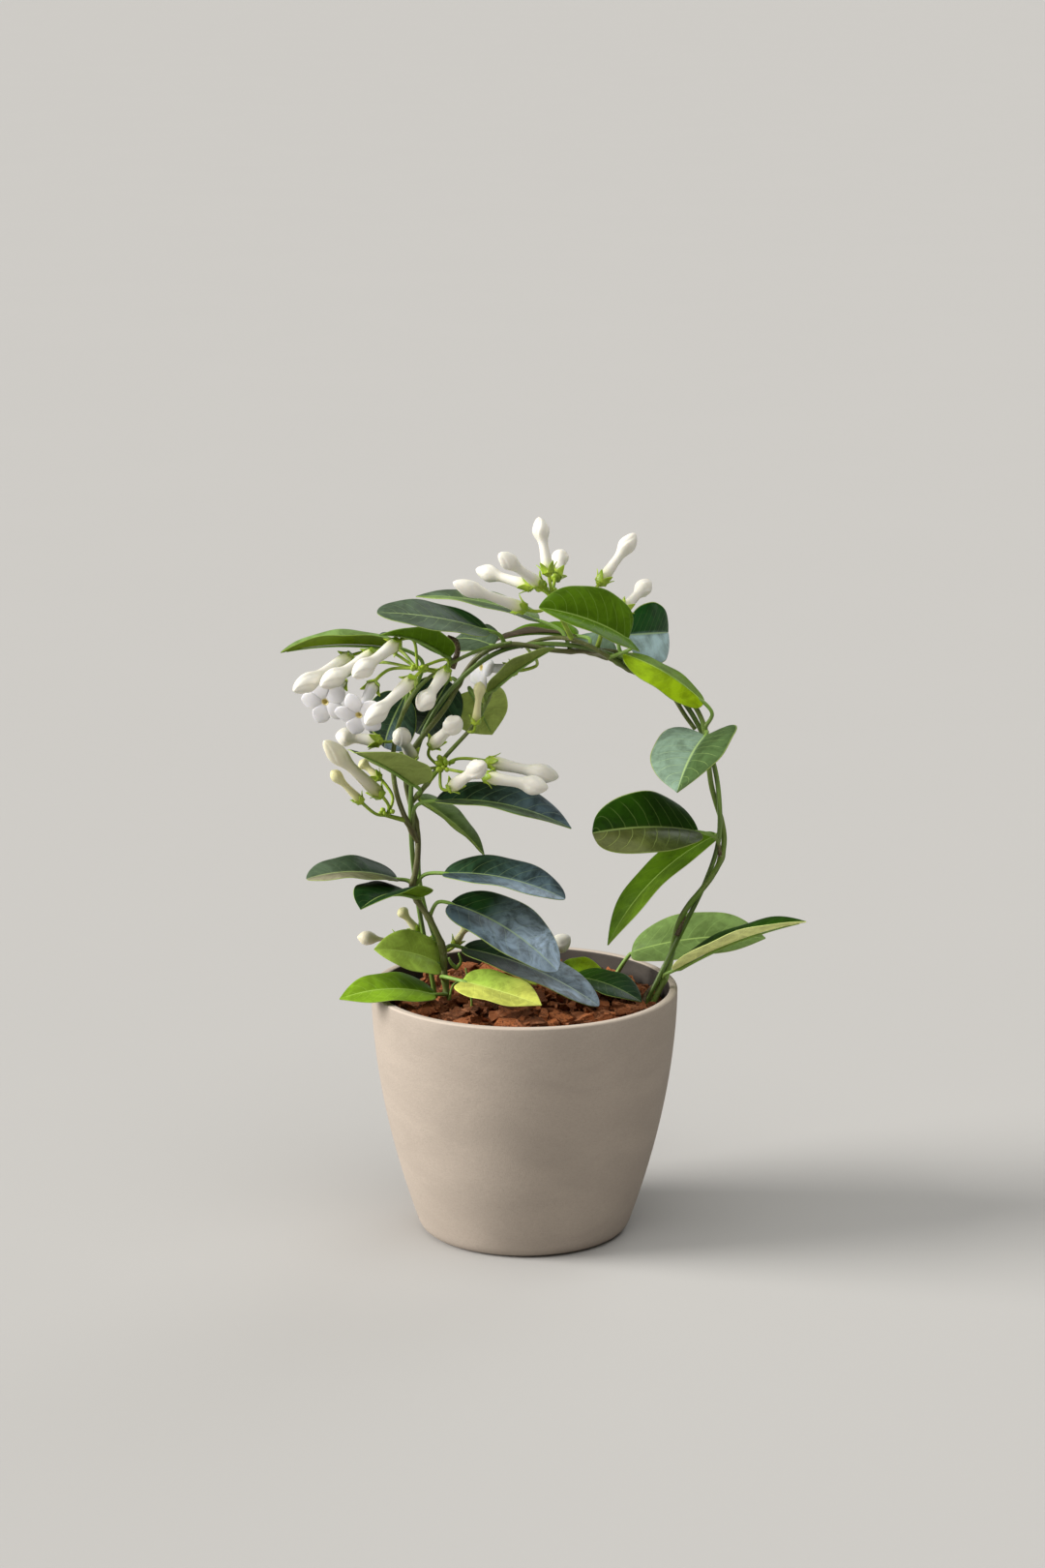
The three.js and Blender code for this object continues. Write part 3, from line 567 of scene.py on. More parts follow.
def smooth_line(points, spacing=1.5, steps_between=12):
    """Evenly spaced points along a centripetal Catmull-Rom line through the given ones."""
    p = np.array(points, float)
    p = np.vstack([2 * p[0] - p[1], p, 2 * p[-1] - p[-2]])
    gap = np.sqrt(np.linalg.norm(np.diff(p, axis=0), axis=1))
    drawn = [p[1]]
    for i in range(1, len(p) - 2):
        a, b, c = gap[i - 1], gap[i], gap[i + 1]
        start = ((p[i] - p[i - 1]) / a - (p[i + 1] - p[i - 1]) / (a + b) + (p[i + 1] - p[i]) / b) * b
        end = ((p[i + 1] - p[i]) / b - (p[i + 2] - p[i]) / (b + c) + (p[i + 2] - p[i + 1]) / c) * b
        for t in np.linspace(0, 1, steps_between + 1)[1:]:
            square, cube = t * t, t * t * t
            drawn.append(
                p[i] * (2 * cube - 3 * square + 1) + start * (cube - 2 * square + t)
                + p[i + 1] * (3 * square - 2 * cube) + end * (cube - square)
            )
    drawn = np.array(drawn)
    run = np.concatenate([[0], np.cumsum(np.linalg.norm(np.diff(drawn, axis=0), axis=1))])
    steps = np.linspace(0, run[-1], max(3, round(run[-1] / spacing) + 1))
    return np.stack([np.interp(steps, run, drawn[:, k]) for k in range(drawn.shape[1])], axis=1)


def nearest(line, hint):
    """The point of a line that lies nearest to a hint."""
    return line[np.argmin(np.linalg.norm(line - np.array(hint, float), axis=1))]


def hoop_line():
    return smooth_line([(x, HOOP_Y, z) for x, z in HOOP_ARCH], 1.0)


def twined(hoop, start, end, phase):
    """Points on a helix beside the hoop, from one share of its length to another."""
    count = round(abs(end - start) * TWINE["steps"])
    points = []
    for share in np.linspace(start, end, count + 1):
        spot = share * (len(hoop) - 1)
        low = min(int(spot), len(hoop) - 2)
        centre = hoop[low] + (hoop[low + 1] - hoop[low]) * (spot - low)
        along = unit(hoop[min(low + 3, len(hoop) - 1)] - hoop[max(low - 2, 0)])
        outward = np.array([-along[2], 0, along[0]])
        turn = phase + 2 * math.pi * TWINE["turns"] * share
        points.append(centre + TWINE["lay"] * (outward * math.cos(turn) - np.array([0, math.sin(turn), 0])))
    return points


def stem_lines():
    """The centre line of every stem, with its radius at the root and at the tip."""
    hoop = hoop_line()
    left = smooth_line(LEFT_FOOT + twined(hoop, 0.2, 0.66, TWINE["left_phase"]))
    right = smooth_line(RIGHT_FOOT + twined(hoop, 0.9, 0.47, TWINE["right_phase"]))
    outer = smooth_line([nearest(left, (-73, -8, 262)), *OUTER_BRANCH])
    top = nearest(left, (-72, -10, 286))
    inner = smooth_line([top, *INNER_BRANCH])
    trail = smooth_line([nearest(left, (-50, -12, 160)), *TRAILING, top])
    return {
        "left": (left, 2.2, 1.4), "outer": (outer, 1.8, 1.1), "inner": (inner, 1.7, 1.1),
        "trail": (trail, 1.5, 1.5), "right": (right, 2.2, 1.3),
    }


STEMS = stem_lines()
STEM_POINTS = np.vstack([STEMS[key][0] for key in ("left", "outer", "inner", "right")])


class Paint:
    """A material with short calls for the nodes that its finish is mixed from."""

    def __init__(self, name):
        self.material = bpy.data.materials.new(name)
        self.material.use_nodes = True
        self.tree = self.material.node_tree
        self.shader = self.tree.nodes["Principled BSDF"]

    def add(self, kind, inputs=(), **settings):
        """A node with its settings, and its inputs given by name or number."""
        made = self.tree.nodes.new(kind)
        for key, value in settings.items():
            setattr(made, key, value)
        for key, value in dict(inputs).items():
            if isinstance(value, bpy.types.NodeSocket):
                self.tree.links.new(value, made.inputs[key])
            else:
                made.inputs[key].default_value = value
        return made

    def set(self, **values):
        """Constants and links on the shader's own sockets."""
        for key, value in values.items():
            socket = self.shader.inputs[key.replace("_", " ")]
            if isinstance(value, bpy.types.NodeSocket):
                self.tree.links.new(value, socket)
            else:
                socket.default_value = value

    def math(self, operation, first, second=0.0, clamp=False):
        """A sum on one or two values."""
        made = self.add("ShaderNodeMath", {0: first, 1: second}, operation=operation, use_clamp=clamp)
        return made.outputs[0]

    def ease(self, value, low, high, to_low=0.0, to_high=1.0):
        """A soft step of a value between two of its levels."""
        made = self.add(
            "ShaderNodeMapRange",
            {"Value": value, "From Min": low, "From Max": high, "To Min": to_low, "To Max": to_high},
            interpolation_type="SMOOTHSTEP",
        )
        return made.outputs[0]

    def mix(self, share, first, second, blend="MIX"):
        """A colour between two colours."""
        ends = {6: first, 7: second}
        for key, colour in ends.items():
            if not isinstance(colour, bpy.types.NodeSocket):
                ends[key] = (*colour[:3], 1)
        return self.add("ShaderNodeMix", {0: share, **ends}, data_type="RGBA", blend_type=blend).outputs[2]

    def number(self, name):
        """A number that the mesh holds at its vertices."""
        return self.add("ShaderNodeAttribute", attribute_name=name).outputs["Fac"]

    def colour(self, name):
        """A colour that the mesh holds at its vertices."""
        return self.add("ShaderNodeAttribute", attribute_name=name).outputs["Color"]

    def place(self, scale=(1, 1, 1)):
        """Object coordinates, stretched by a scale."""
        spot = self.add("ShaderNodeTexCoord").outputs["Object"]
        return self.add("ShaderNodeMapping", {"Vector": spot, "Scale": scale}).outputs[0]

    def noise(self, scale, detail=3.0, rough=0.5, stretch=(1, 1, 1), distortion=0.0):
        """Cloudy noise on object coordinates."""
        inputs = {
            "Vector": self.place(stretch), "Scale": scale, "Detail": detail, "Roughness": rough,
            "Distortion": distortion,
        }
        return self.add("ShaderNodeTexNoise", inputs).outputs[0]

    def relief(self, height, distance, strength=1.0):
        """A bump from a height, with its depth in metres."""
        bump = self.add("ShaderNodeBump", {"Height": height, "Distance": distance, "Strength": strength})
        self.set(Normal=bump.outputs[0])


def pot_stone(colour):
    """Matt stone composite: cloudy and finely grained, with a painted highlight on the rim and soil stain and
    painted shade on the wall inside.
    """
    paint = Paint("pot_stone")
    body = Vector(colour)
    cloud = paint.noise(14, detail=4, rough=0.6, stretch=(1, 1, 2.2), distortion=0.6)
    weave = paint.noise(420, detail=3, rough=0.6, stretch=(1, 1, 2.2))
    grain = paint.noise(1100, detail=2, rough=0.6)
    parts = paint.add("ShaderNodeSeparateXYZ", {0: paint.place()})
    height = parts.outputs[2]
    squares = [paint.math("POWER", parts.outputs[k], 2.0) for k in (0, 1)]
    out = paint.math("SQRT", paint.math("ADD", *squares))
    tone = paint.mix(paint.ease(cloud, 0.35, 0.68), body * 0.94, body * 1.04)
    tone = paint.mix(paint.ease(weave, 0.35, 0.65, 0.2, 0), tone, body * 0.74)
    tone = paint.mix(paint.ease(grain, 0.3, 0.5, 0.28, 0), tone, body * 0.68)
    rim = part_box("pot")[1]
    # The rim's rounded top edge is paler: a painted highlight.
    tone = paint.mix(paint.ease(height, rim.z - 1.4 * MM, rim.z - 0.5 * MM, 0, 0.8), tone, body * 1.3)
    # The wall inside is darkened: soil stain and painted shade from the foliage.
    inner_face = paint.ease(out, rim.x - 5.2 * MM, rim.x - 4.6 * MM, 1, 0)
    inside = paint.math("MULTIPLY", inner_face, paint.ease(height, 0.12, 0.14))
    stain_and_shade = paint.mix(paint.ease(cloud, 0.3, 0.7), body * 0.09, body * 0.18)
    tone = paint.mix(inside, tone, stain_and_shade)
    paint.set(Base_Color=tone, Roughness=paint.ease(grain, 0.3, 0.7, 0.74, 0.9), Specular_IOR_Level=0.25)
    paint.relief(paint.math("ADD", grain, weave), 0.14 * MM, 0.8)
    return paint.material


def bark_finish(colour):
    """Red-brown pine bark, each chip with a tone of its own, dark in its cracks."""
    paint = Paint("bark_chips")
    fresh = Vector(colour)
    tone = paint.number("tone")
    grain = paint.noise(420, detail=5, rough=0.7, distortion=1.2)
    layers = paint.noise(130, detail=4, rough=0.65, stretch=(1, 1, 2.5), distortion=0.8)
    mixed = paint.mix(tone, fresh * 0.3, fresh * 1.25)
    mixed = paint.mix(paint.ease(layers, 0.46, 0.7, 0, 0.7), mixed, Vector((0.50, 0.21, 0.10)))
    mixed = paint.mix(paint.ease(grain, 0.32, 0.52, 0.9, 0), mixed, fresh * 0.08)
    paint.set(Base_Color=mixed, Roughness=0.85, Specular_IOR_Level=0.2)
    paint.relief(paint.math("ADD", grain, layers), 0.9 * MM)
    return paint.material


def soil_finish():
    """Dark potting soil with light crumbs."""
    paint = Paint("soil_crumb")
    crumb = paint.noise(260, detail=6, rough=0.7)
    tone = paint.mix(paint.ease(crumb, 0.35, 0.7), (0.012, 0.007, 0.005), (0.06, 0.033, 0.02))
    paint.set(Base_Color=tone, Roughness=0.95)
    paint.relief(crumb, 1.2 * MM)
    return paint.material


def wire_finish(colour):
    """Green coated wire with faint draw lines along it."""
    paint = Paint("hoop_coat")
    body = Vector(colour)
    uv = paint.add("ShaderNodeUVMap", uv_map="UVMap").outputs[0]
    turn = paint.add("ShaderNodeMapping", {"Vector": uv, "Scale": (9, 2.5, 1)}).outputs[0]
    lines = paint.add("ShaderNodeTexNoise", {"Vector": turn, "Scale": 2.2, "Detail": 3.0}).outputs[0]
    tone = paint.mix(paint.ease(lines, 0.35, 0.65), body * 0.55, body * 1.6)
    paint.set(Base_Color=tone, Roughness=0.38, Specular_IOR_Level=0.5)
    paint.relief(lines, 0.1 * MM, 0.6)
    return paint.material


# The tones of a stem, each at its age from 0 to 1.
STEM_TONES = (
    (0.0, (0.22, 0.40, 0.06, 1)), (0.3, (0.135, 0.22, 0.03, 1)), (0.6, (0.105, 0.115, 0.03, 1)),
    (0.8, (0.095, 0.068, 0.032, 1)), (1.0, (0.075, 0.036, 0.022, 1)),
)


def stem_finish():
    """Green to brown stem, by its age, with streaks along it and pale pores."""
    paint = Paint("stem_bark")
    age = paint.number("age")
    uv = paint.add("ShaderNodeUVMap", uv_map="UVMap").outputs[0]
    turn = paint.add("ShaderNodeMapping", {"Vector": uv, "Scale": (8, 3, 1)}).outputs[0]
    streak = paint.add("ShaderNodeTexNoise", {"Vector": turn, "Scale": 3.0, "Detail": 4.0}).outputs[0]
    blotch = paint.noise(70, detail=3, rough=0.6)
    pores = paint.noise(520, detail=2, rough=0.5)
    shifted = paint.math("ADD", age, paint.math("MULTIPLY", paint.math("SUBTRACT", blotch, 0.5), 0.7), True)
    ramp = paint.add("ShaderNodeValToRGB", {0: shifted})
    bands = ramp.color_ramp.elements
    bands[0].color, bands[1].color = STEM_TONES[0][1], STEM_TONES[-1][1]
    for spot, colour in STEM_TONES[1:-1]:
        bands.new(spot).color = colour
    tone = paint.mix(paint.ease(streak, 0.42, 0.7, 0, 0.5), ramp.outputs[0], (0.27, 0.29, 0.11))
    tone = paint.mix(paint.ease(pores, 0.62, 0.7, 0, 0.4), tone, (0.34, 0.33, 0.20))
    paint.set(Base_Color=tone, Roughness=0.5, Specular_IOR_Level=0.4)
    paint.relief(paint.math("ADD", streak, paint.math("MULTIPLY", pores, 0.5)), 0.25 * MM, 0.8)
    return paint.material


def fresh_green():
    """The light green of a spray: its stalks and calyces."""
    paint = Paint("spray_green")
    age = paint.number("age")
    blotch = paint.noise(140, detail=3, rough=0.6)
    tone = paint.mix(paint.ease(blotch, 0.3, 0.7), (0.24, 0.38, 0.02), (0.46, 0.60, 0.05))
    tone = paint.mix(age, tone, (0.10, 0.14, 0.02))
    paint.set(Base_Color=tone, Roughness=0.42, Specular_IOR_Level=0.45, Subsurface_Weight=0.12)
    paint.shader.inputs["Subsurface Radius"].default_value = (0.4 * MM, 0.8 * MM, 0.2 * MM)
    paint.shader.inputs["Subsurface Scale"].default_value = 1.0
    paint.relief(blotch, 0.2 * MM, 0.5)
    return paint.material


def petal_wax(name, colour, foot):
    """Waxy petal, tinted at the foot of its tube and yellow in the throat."""
    paint = Paint(name)
    white = Vector(colour)
    share = paint.number("share")
    throat = paint.number("throat")
    cloud = paint.noise(120, detail=3, rough=0.5)
    tone = paint.mix(paint.ease(cloud, 0.35, 0.7), white * 0.94, white)
    tube_tone = paint.mix(paint.ease(share, 0.0, 0.3), foot, white * 0.93)
    tone = paint.mix(paint.ease(share, 0.0, 0.62, 1, 0), tone, tube_tone)
    tone = paint.mix(throat, tone, (0.70, 0.58, 0.14))
    paint.set(Base_Color=tone, Roughness=0.45, Specular_IOR_Level=0.35, Subsurface_Weight=0.25)
    paint.shader.inputs["Subsurface Radius"].default_value = (1.0, 0.85, 0.55)
    paint.shader.inputs["Subsurface Scale"].default_value = 1.6 * MM
    paint.relief(paint.noise(700, detail=2, rough=0.5), 0.06 * MM, 0.5)
    return paint.material


# The side veins of a blade: how many, how far they sweep on towards the tip and how they curve.
VEINS = {"count": 9, "sweep": 0.2, "curve": 1.4}
# The light green of midribs and veins, and of the painted highlight along the margins.
VEIN_GREEN = (0.50, 0.66, 0.20)


def leaf_pattern(paint):
    """Where the midrib, the side veins and the margin run, from the blade's own map."""
    uv = paint.add("ShaderNodeUVMap", uv_map="UVMap").outputs[0]
    parts = paint.add("ShaderNodeSeparateXYZ", {0: uv})
    across = paint.math("SUBTRACT", paint.math("MULTIPLY", parts.outputs[0], 2.0), 1.0)
    side = paint.math("ABSOLUTE", across)
    stray = paint.math("MULTIPLY", paint.math("SUBTRACT", paint.noise(45, detail=2, rough=0.5), 0.5), 0.07)
    curved = paint.math("MULTIPLY", paint.math("POWER", side, VEINS["curve"]), -VEINS["sweep"])
    run = paint.math("ADD", paint.math("ADD", parts.outputs[1], curved), stray)
    left = paint.math("MULTIPLY", paint.math("LESS_THAN", across, 0.0), 0.5)
    count = paint.math("ADD", paint.math("MULTIPLY", run, VEINS["count"]), left)
    off = paint.math("ABSOLUTE", paint.math("SUBTRACT", paint.math("FRACT", count), 0.5))
    veins = paint.math("MULTIPLY", paint.ease(off, 0.012, 0.055, 1, 0), paint.ease(side, 0.6, 0.95, 1, 0))
    return side, paint.math("MULTIPLY", veins, paint.number("veins"))


def leaf_finish(name, tint_name, roughness, gloss, mottle_and_sheen, rib_strength):
    """A face of a leaf: its tint and painted sheen, mottled, with a light midrib, side veins and a fine
    painted highlight at the margin.
    """
    paint = Paint(name)
    side, veins = leaf_pattern(paint)
    own = paint.colour(tint_name)
    cloud = paint.noise(62, detail=5, rough=0.68, distortion=0.9)
    fine = paint.noise(260, detail=3, rough=0.6)
    # Dark and pale blotches; the pale ones, bluer, are painted sheen.
    deep = Vector((1 - mottle_and_sheen, 1 - mottle_and_sheen, 1 - mottle_and_sheen))
    pale = Vector((1 + mottle_and_sheen, 1 + mottle_and_sheen, 1 + 1.3 * mottle_and_sheen))
    shade = paint.mix(paint.ease(cloud, 0.34, 0.66), deep, pale)
    shade = paint.mix(paint.ease(fine, 0.4, 0.7, 0, 0.16), shade, pale * 1.25)
    mottled = paint.mix(1.0, own, shade, "MULTIPLY")
    lit = paint.mix(1.0, own, (1.6, 1.6, 1.6), "MULTIPLY")
    tone = paint.mix(veins, mottled, paint.mix(0.22, lit, VEIN_GREEN))
    light = paint.mix(0.45, lit, VEIN_GREEN)
    tone = paint.mix(paint.ease(side, 0.014, 0.044, rib_strength, 0), tone, light)
    # A fine light line at the margin: a painted highlight along the edge.
    tone = paint.mix(paint.ease(side, 0.95, 0.985, 0, 0.6), tone, light)
    paint.set(Base_Color=tone, Roughness=roughness, Specular_IOR_Level=gloss)
    height = paint.math("SUBTRACT", paint.math("MULTIPLY", cloud, 1.2), veins)
    paint.relief(paint.math("ADD", height, paint.math("MULTIPLY", fine, 0.3)), 0.4 * MM, 0.7)
    return paint.material


# The upper face of each leaf finish: its roughness, its gloss and how strongly it is mottled in tone and
# painted sheen.
LEAF_LOOKS = {
    "leaf_dark": (0.28, 0.1, 0.3), "leaf_blue": (0.32, 0.13, 0.55), "leaf_mid": (0.36, 0.08, 0.28),
    "leaf_bright": (0.34, 0.07, 0.22), "leaf_young": (0.4, 0.06, 0.25),
}


def leaf_materials(slot):
    upper = finish(f"{slot}_upper", leaf_finish, f"{slot}_upper", "face_tint", *LEAF_LOOKS[slot], 0.9)
    under = finish(f"{slot}_under", leaf_finish, f"{slot}_under", "under_tint", 0.55, 0.08, 0.2, 0.5)
    return upper, under


_finishes = {}


def finish(name, make, *values):
    """A material, made the first time that it is asked for."""
    if name not in _finishes:
        _finishes[name] = make(*values)
    return _finishes[name]


def stem_material():
    return finish("stem", stem_finish)


def green_material():
    return finish("spray", fresh_green)


# Each kind of corolla but the closed bud: the colour of its wax and of the foot of its tube.
WAXES = {
    "young": ((0.72, 0.69, 0.38), (0.38, 0.42, 0.09)),
    "slim": ((0.80, 0.74, 0.56), (0.20, 0.15, 0.07)),
    # The open flowers' wax is greyer and darker than the buds': painted shade.
    "open": ((0.72, 0.71, 0.73), (0.75, 0.76, 0.5)),
    "cream": ((0.80, 0.76, 0.58), (0.44, 0.47, 0.11)),
}
BUD_FOOT = (0.70, 0.72, 0.36)


def petal_materials():
    """The wax of each kind of corolla."""
    waxes = {"bud": (bpy.context.scene.jasmine_finishes.petal, BUD_FOOT), **WAXES}
    made = {}
    for kind, (wax, foot) in waxes.items():
        ending = "" if kind == "bud" else f"_{kind}"
        made[kind] = finish("petal" + ending, petal_wax, "petal_wax" + ending, Vector(wax), Vector(foot))
    return made


def turned(name, profile, sides):
    """A closed turned body: a filled circle drawn out ring by ring, then set to rows of (radius, height)."""
    deselect()
    bpy.ops.mesh.primitive_circle_add(vertices=sides, radius=1, fill_type="NGON")
    body = bpy.context.object
    body.name = name
    bpy.ops.object.mode_set(mode="EDIT")
    bpy.ops.mesh.select_all(action="SELECT")
    for _ in range(len(profile) - 1):
        bpy.ops.mesh.extrude_region_move(TRANSFORM_OT_translate={"value": (0, 0, 1)})
    bpy.ops.object.mode_set(mode="OBJECT")
    rows = places(body)
    ring = np.rint(rows[:, 2]).astype(int)
    turn = np.arctan2(rows[:, 1], rows[:, 0])
    profile = np.asarray(profile, float)
    radius, height = profile[ring, 0], profile[ring, 1]
    move_to(body, np.stack([radius * np.cos(turn), radius * np.sin(turn), height], axis=1) * MM)
    close_up(body)
    return body


def tube(name, points, radii, sides, material, age=0.5):
    """A round limb: a curve with a bevel, turned into a mesh and closed."""
    deselect()
    bpy.ops.curve.primitive_bezier_curve_add(location=(0, 0, 0))
    limb = bpy.context.object
    limb.data.dimensions = "3D"
    limb.data.splines.clear()
    spline = limb.data.splines.new("POLY")
    spline.points.add(len(points) - 1)
    for knot, place, radius in zip(spline.points, points, np.broadcast_to(radii, len(points))):
        knot.co = (*(np.asarray(place) * MM), 1)
        knot.radius = radius
    limb.data.bevel_depth = MM
    limb.data.bevel_resolution = (sides - 4) // 2
    limb.data.use_fill_caps = True
    bpy.ops.object.convert(target="MESH")
    limb = bpy.context.object
    limb.name = name
    close_up(limb)
    rows = places(limb) / MM
    line = np.asarray(points, float)
    closest = np.argmin(((rows[:, None, :] - line[None, :, :]) ** 2).sum(2), axis=1)
    dress(limb, material, age=np.broadcast_to(age, len(line))[closest])
    return limb


# A stalk: where it bends, as a share of its reach back from its end, how far that bend is drawn to the stem,
# and how far it runs on into what it bears.
STALK = {"bend": 0.45, "back": 0.25, "lead": 3}


def stalk_line(start, end, along, spacing=1.2):
    """The line of a stalk from its stem to the foot of what it bears, which it meets head on."""
    start, end = np.array(start, float), np.array(end, float)
    reach = np.linalg.norm(end - start)
    bend = end - along * STALK["bend"] * reach
    bend += STALK["back"] * (start - bend)
    return smooth_line([start, bend, end, end + STALK["lead"] * along], spacing)


def blade_axes(leaf):
    """A blade's foot, its length, and its own axes: along it, across it and up from its face."""
    foot, tip = np.array(leaf.base, float), np.array(leaf.tip, float)
    length = np.linalg.norm(tip - foot)
    along = (tip - foot) / length
    up = np.array(leaf.face, float)
    up = unit(up - along * np.dot(up, along))
    return foot, length, along, np.cross(along, up), up


# Outlines of a blade: the lower its belly, the nearer to the base it is widest. Its point draws out the tip.
OUTLINES = {
    "long": (0.88, 0.45), "blunt": (0.88, 0.1), "egg": (0.66, 0.2), "heart": (0.7, 0.5),
    "round": (0.95, -0.12), "spoon": (1.2, 0.1),
}


def outline_share(s, outline):
    """A blade's half width along it, from its base at 0 to its tip at 1."""
    belly, point = OUTLINES[outline]
    return np.maximum(1 - (2 * s ** belly - 1) ** 2, 0) ** (0.44 + point * s ** 4)


# The shape of a blade, lengths in millimetres: how much less its halves rise at the margin, the groove over
# the midrib, the waves along the margins and the swell of the face between its veins.
BLADE = {
    "flare": 0.45, "groove": 0.45, "groove_width": 1.1, "wave": 0.9, "waves": 2.1, "wave_shift": 0.37,
    "wave_lag": 1.3, "quilt": 0.35,
}


def blade_surface(leaf, s, v, seed):
    """Points of a blade's middle surface: s from its foot to its tip, v from margin to margin, -1 to 1."""
    fold = math.radians(leaf.fold)
    foot, length, along, across, up = blade_axes(leaf)
    share = outline_share(s, leaf.outline)
    reach = length * (s - leaf.lobe * v * v * share * (1 - s) ** 2)
    out = np.abs(v) * np.maximum(leaf.width / 2 * share, 0.5)
    wide = np.sign(v) * out * math.cos(fold)
    high = out * math.sin(fold) * (1 - BLADE["flare"] * np.abs(v))
    high -= BLADE["groove"] * np.exp(-((out / BLADE["groove_width"]) ** 2)) * (1 - s)
    phase = 2 * math.pi * (BLADE["waves"] * s + BLADE["wave_shift"] * seed)
    wave = BLADE["wave"] * np.sin(phase + np.sign(v) * BLADE["wave_lag"])
    high += wave * v * v * np.sin(math.pi * s)
    run = VEINS["count"] * (s - VEINS["sweep"] * np.abs(v) ** VEINS["curve"]) + np.where(v < 0, 0.5, 0)
    quilt = BLADE["quilt"] * leaf.veins * np.cos(2 * math.pi * run)
    high -= quilt * np.abs(v) * (1 - v * v) * np.sin(math.pi * s)
    turn = math.radians(leaf.twist) * (s - 0.5)
    rise = wide * np.sin(turn) + high * np.cos(turn) + 4 * leaf.arch * s * (1 - s)
    sideways = wide * np.cos(turn) - high * np.sin(turn)
    return foot + along * reach[:, None] + across * sideways[:, None] + up * rise[:, None]


def blade_tints(sheet, leaf):
    """Lays a leaf's tints, painted sheen and shade among them, on its vertices: from base to tip on each
    half, and one below.
    """
    base_far, base_near, tip_far, tip_near, under = (np.array(TINTS[word]) for word in leaf.tints.split())
    _, _, _, across, _ = blade_axes(leaf)
    # The near half is the one that faces the front; each half's tints paint the sheen and shade it catches as
    # well as its own colour.
    front = 1 if across @ np.array([0, -1, -0.5]) > 0 else -1
    s, v = held(sheet, "along")[:, None], held(sheet, "across")[:, None] * front
    near = np.clip(0.5 + 6 * v, 0, 1)
    ahead = np.clip((s - 0.25) / 0.5, 0, 1) ** 1.2
    base = base_far + (base_near - base_far) * near
    tip = tip_far + (tip_near - tip_far) * near
    tint(sheet, "face_tint", base + (tip - base) * ahead)
    tint(sheet, "under_tint", under)


def blade(name, leaf, seed, thickness, rows=22, columns=12):
    """A leaf's blade: a grid laid out along the leaf, thickened and rounded at its margin."""
    deselect()
    bpy.ops.mesh.primitive_grid_add(x_subdivisions=columns, y_subdivisions=rows, size=2)
    sheet = bpy.context.object
    sheet.name = name
    flat = places(sheet)
    v = np.sign(flat[:, 0]) * np.abs(flat[:, 0]) ** 1.2
    s = (1 - np.cos(math.pi * (flat[:, 1] + 1) / 2)) / 2
    move_to(sheet, blade_surface(leaf, s, v, seed) * MM)
    mark(sheet, "along", s)
    mark(sheet, "across", v)
    corner = np.empty(len(sheet.data.loops), int)
    sheet.data.loops.foreach_get("vertex_index", corner)
    chart = np.stack([(v[corner] + 1) / 2, s[corner]], axis=1)
    sheet.data.uv_layers[0].data.foreach_set("uv", chart.ravel())
    finish_with(sheet, *leaf_materials(leaf.slot))
    apply(sheet, "SOLIDIFY", thickness=thickness, offset=0, material_offset=1, material_offset_rim=1)
    apply(sheet, "SUBSURF", levels=1, render_levels=1)
    blade_tints(sheet, leaf)
    mark(sheet, "veins", leaf.veins)
    mark(sheet, "age", 0)
    smooth(sheet)
    return sheet


# How old and brown the foot of a leaf's stalk is, where it is older than the others.
OLD_STALKS = {"leaf_right_big": 1.0, "leaf_mid_right": 0.7}


# The midrib under a blade: its ends, its radius at the tip and how it tapers, and how deep it lies.
RIB = {"start": 0.05, "end": 0.95, "steps": 26, "tip": 0.2, "taper": 0.8, "sink": 0.1, "under": 0.75}


def leaf_piece(name, leaf, seed, sizes, shoot=None, shoot_radius=0.0):
    """A whole leaf: its blade, and its stalk drawn on as the midrib under the blade."""
    sheet = blade(name, leaf, seed, sizes.blade)
    foot, _, along, _, up = blade_axes(leaf)
    petiole = sizes.petiole / MM
    if shoot is None:
        start = nearest(STEM_POINTS, leaf.spring)
        stalk = stalk_line(start, foot, along)
        swell, swell_reach = 0.75, 2.2
        stalk_radii = petiole + swell * np.exp(-np.linalg.norm(stalk - start, axis=1) / swell_reach)
    else:
        stalk = smooth_line(shoot)
        stalk_radii = np.linspace(shoot_radius, petiole, len(stalk))
    s = np.linspace(RIB["start"], RIB["end"], RIB["steps"])
    rib = blade_surface(leaf, s, np.zeros(len(s)), seed)
    rib_radii = (petiole - RIB["tip"]) * (1 - s) ** RIB["taper"] + RIB["tip"]
    rib = rib - up * (RIB["sink"] + RIB["under"] * rib_radii)[:, None]
    ahead = (rib - stalk[-1]) @ along > 1.5
    points = np.vstack([stalk[:-1], rib[ahead]])
    radii = np.concatenate([stalk_radii[:-1], rib_radii[ahead]])
    share = np.linspace(0, 1, len(points))
    age = np.clip(OLD_STALKS.get(name.removesuffix("_new"), 0.3) * (1 - 3 * share), 0, 1)
    limb = tube(f"{name}_stalk", points, radii, 10, stem_material(), age)
    mark(limb, "veins", 0)
    return join([sheet, limb], name)


def aimed(piece, foot, tip, length):
    """Turns and stretches a form that stands on the origin so that it runs from foot to tip."""
    foot, tip = Vector(foot), Vector(tip)
    axis = tip - foot
    turn = Vector((0, 0, 1)).rotation_difference(axis.normalized()).to_matrix().to_4x4()
    stretch = Matrix.Diagonal((1, 1, axis.length / length, 1))
    piece.data.transform(Matrix.Translation(foot * MM) @ turn @ stretch)
    return piece


def copy_of(piece, name):
    made = piece.copy()
    made.data = piece.data.copy()
    made.name = name
    bpy.context.scene.collection.objects.link(made)
    return made


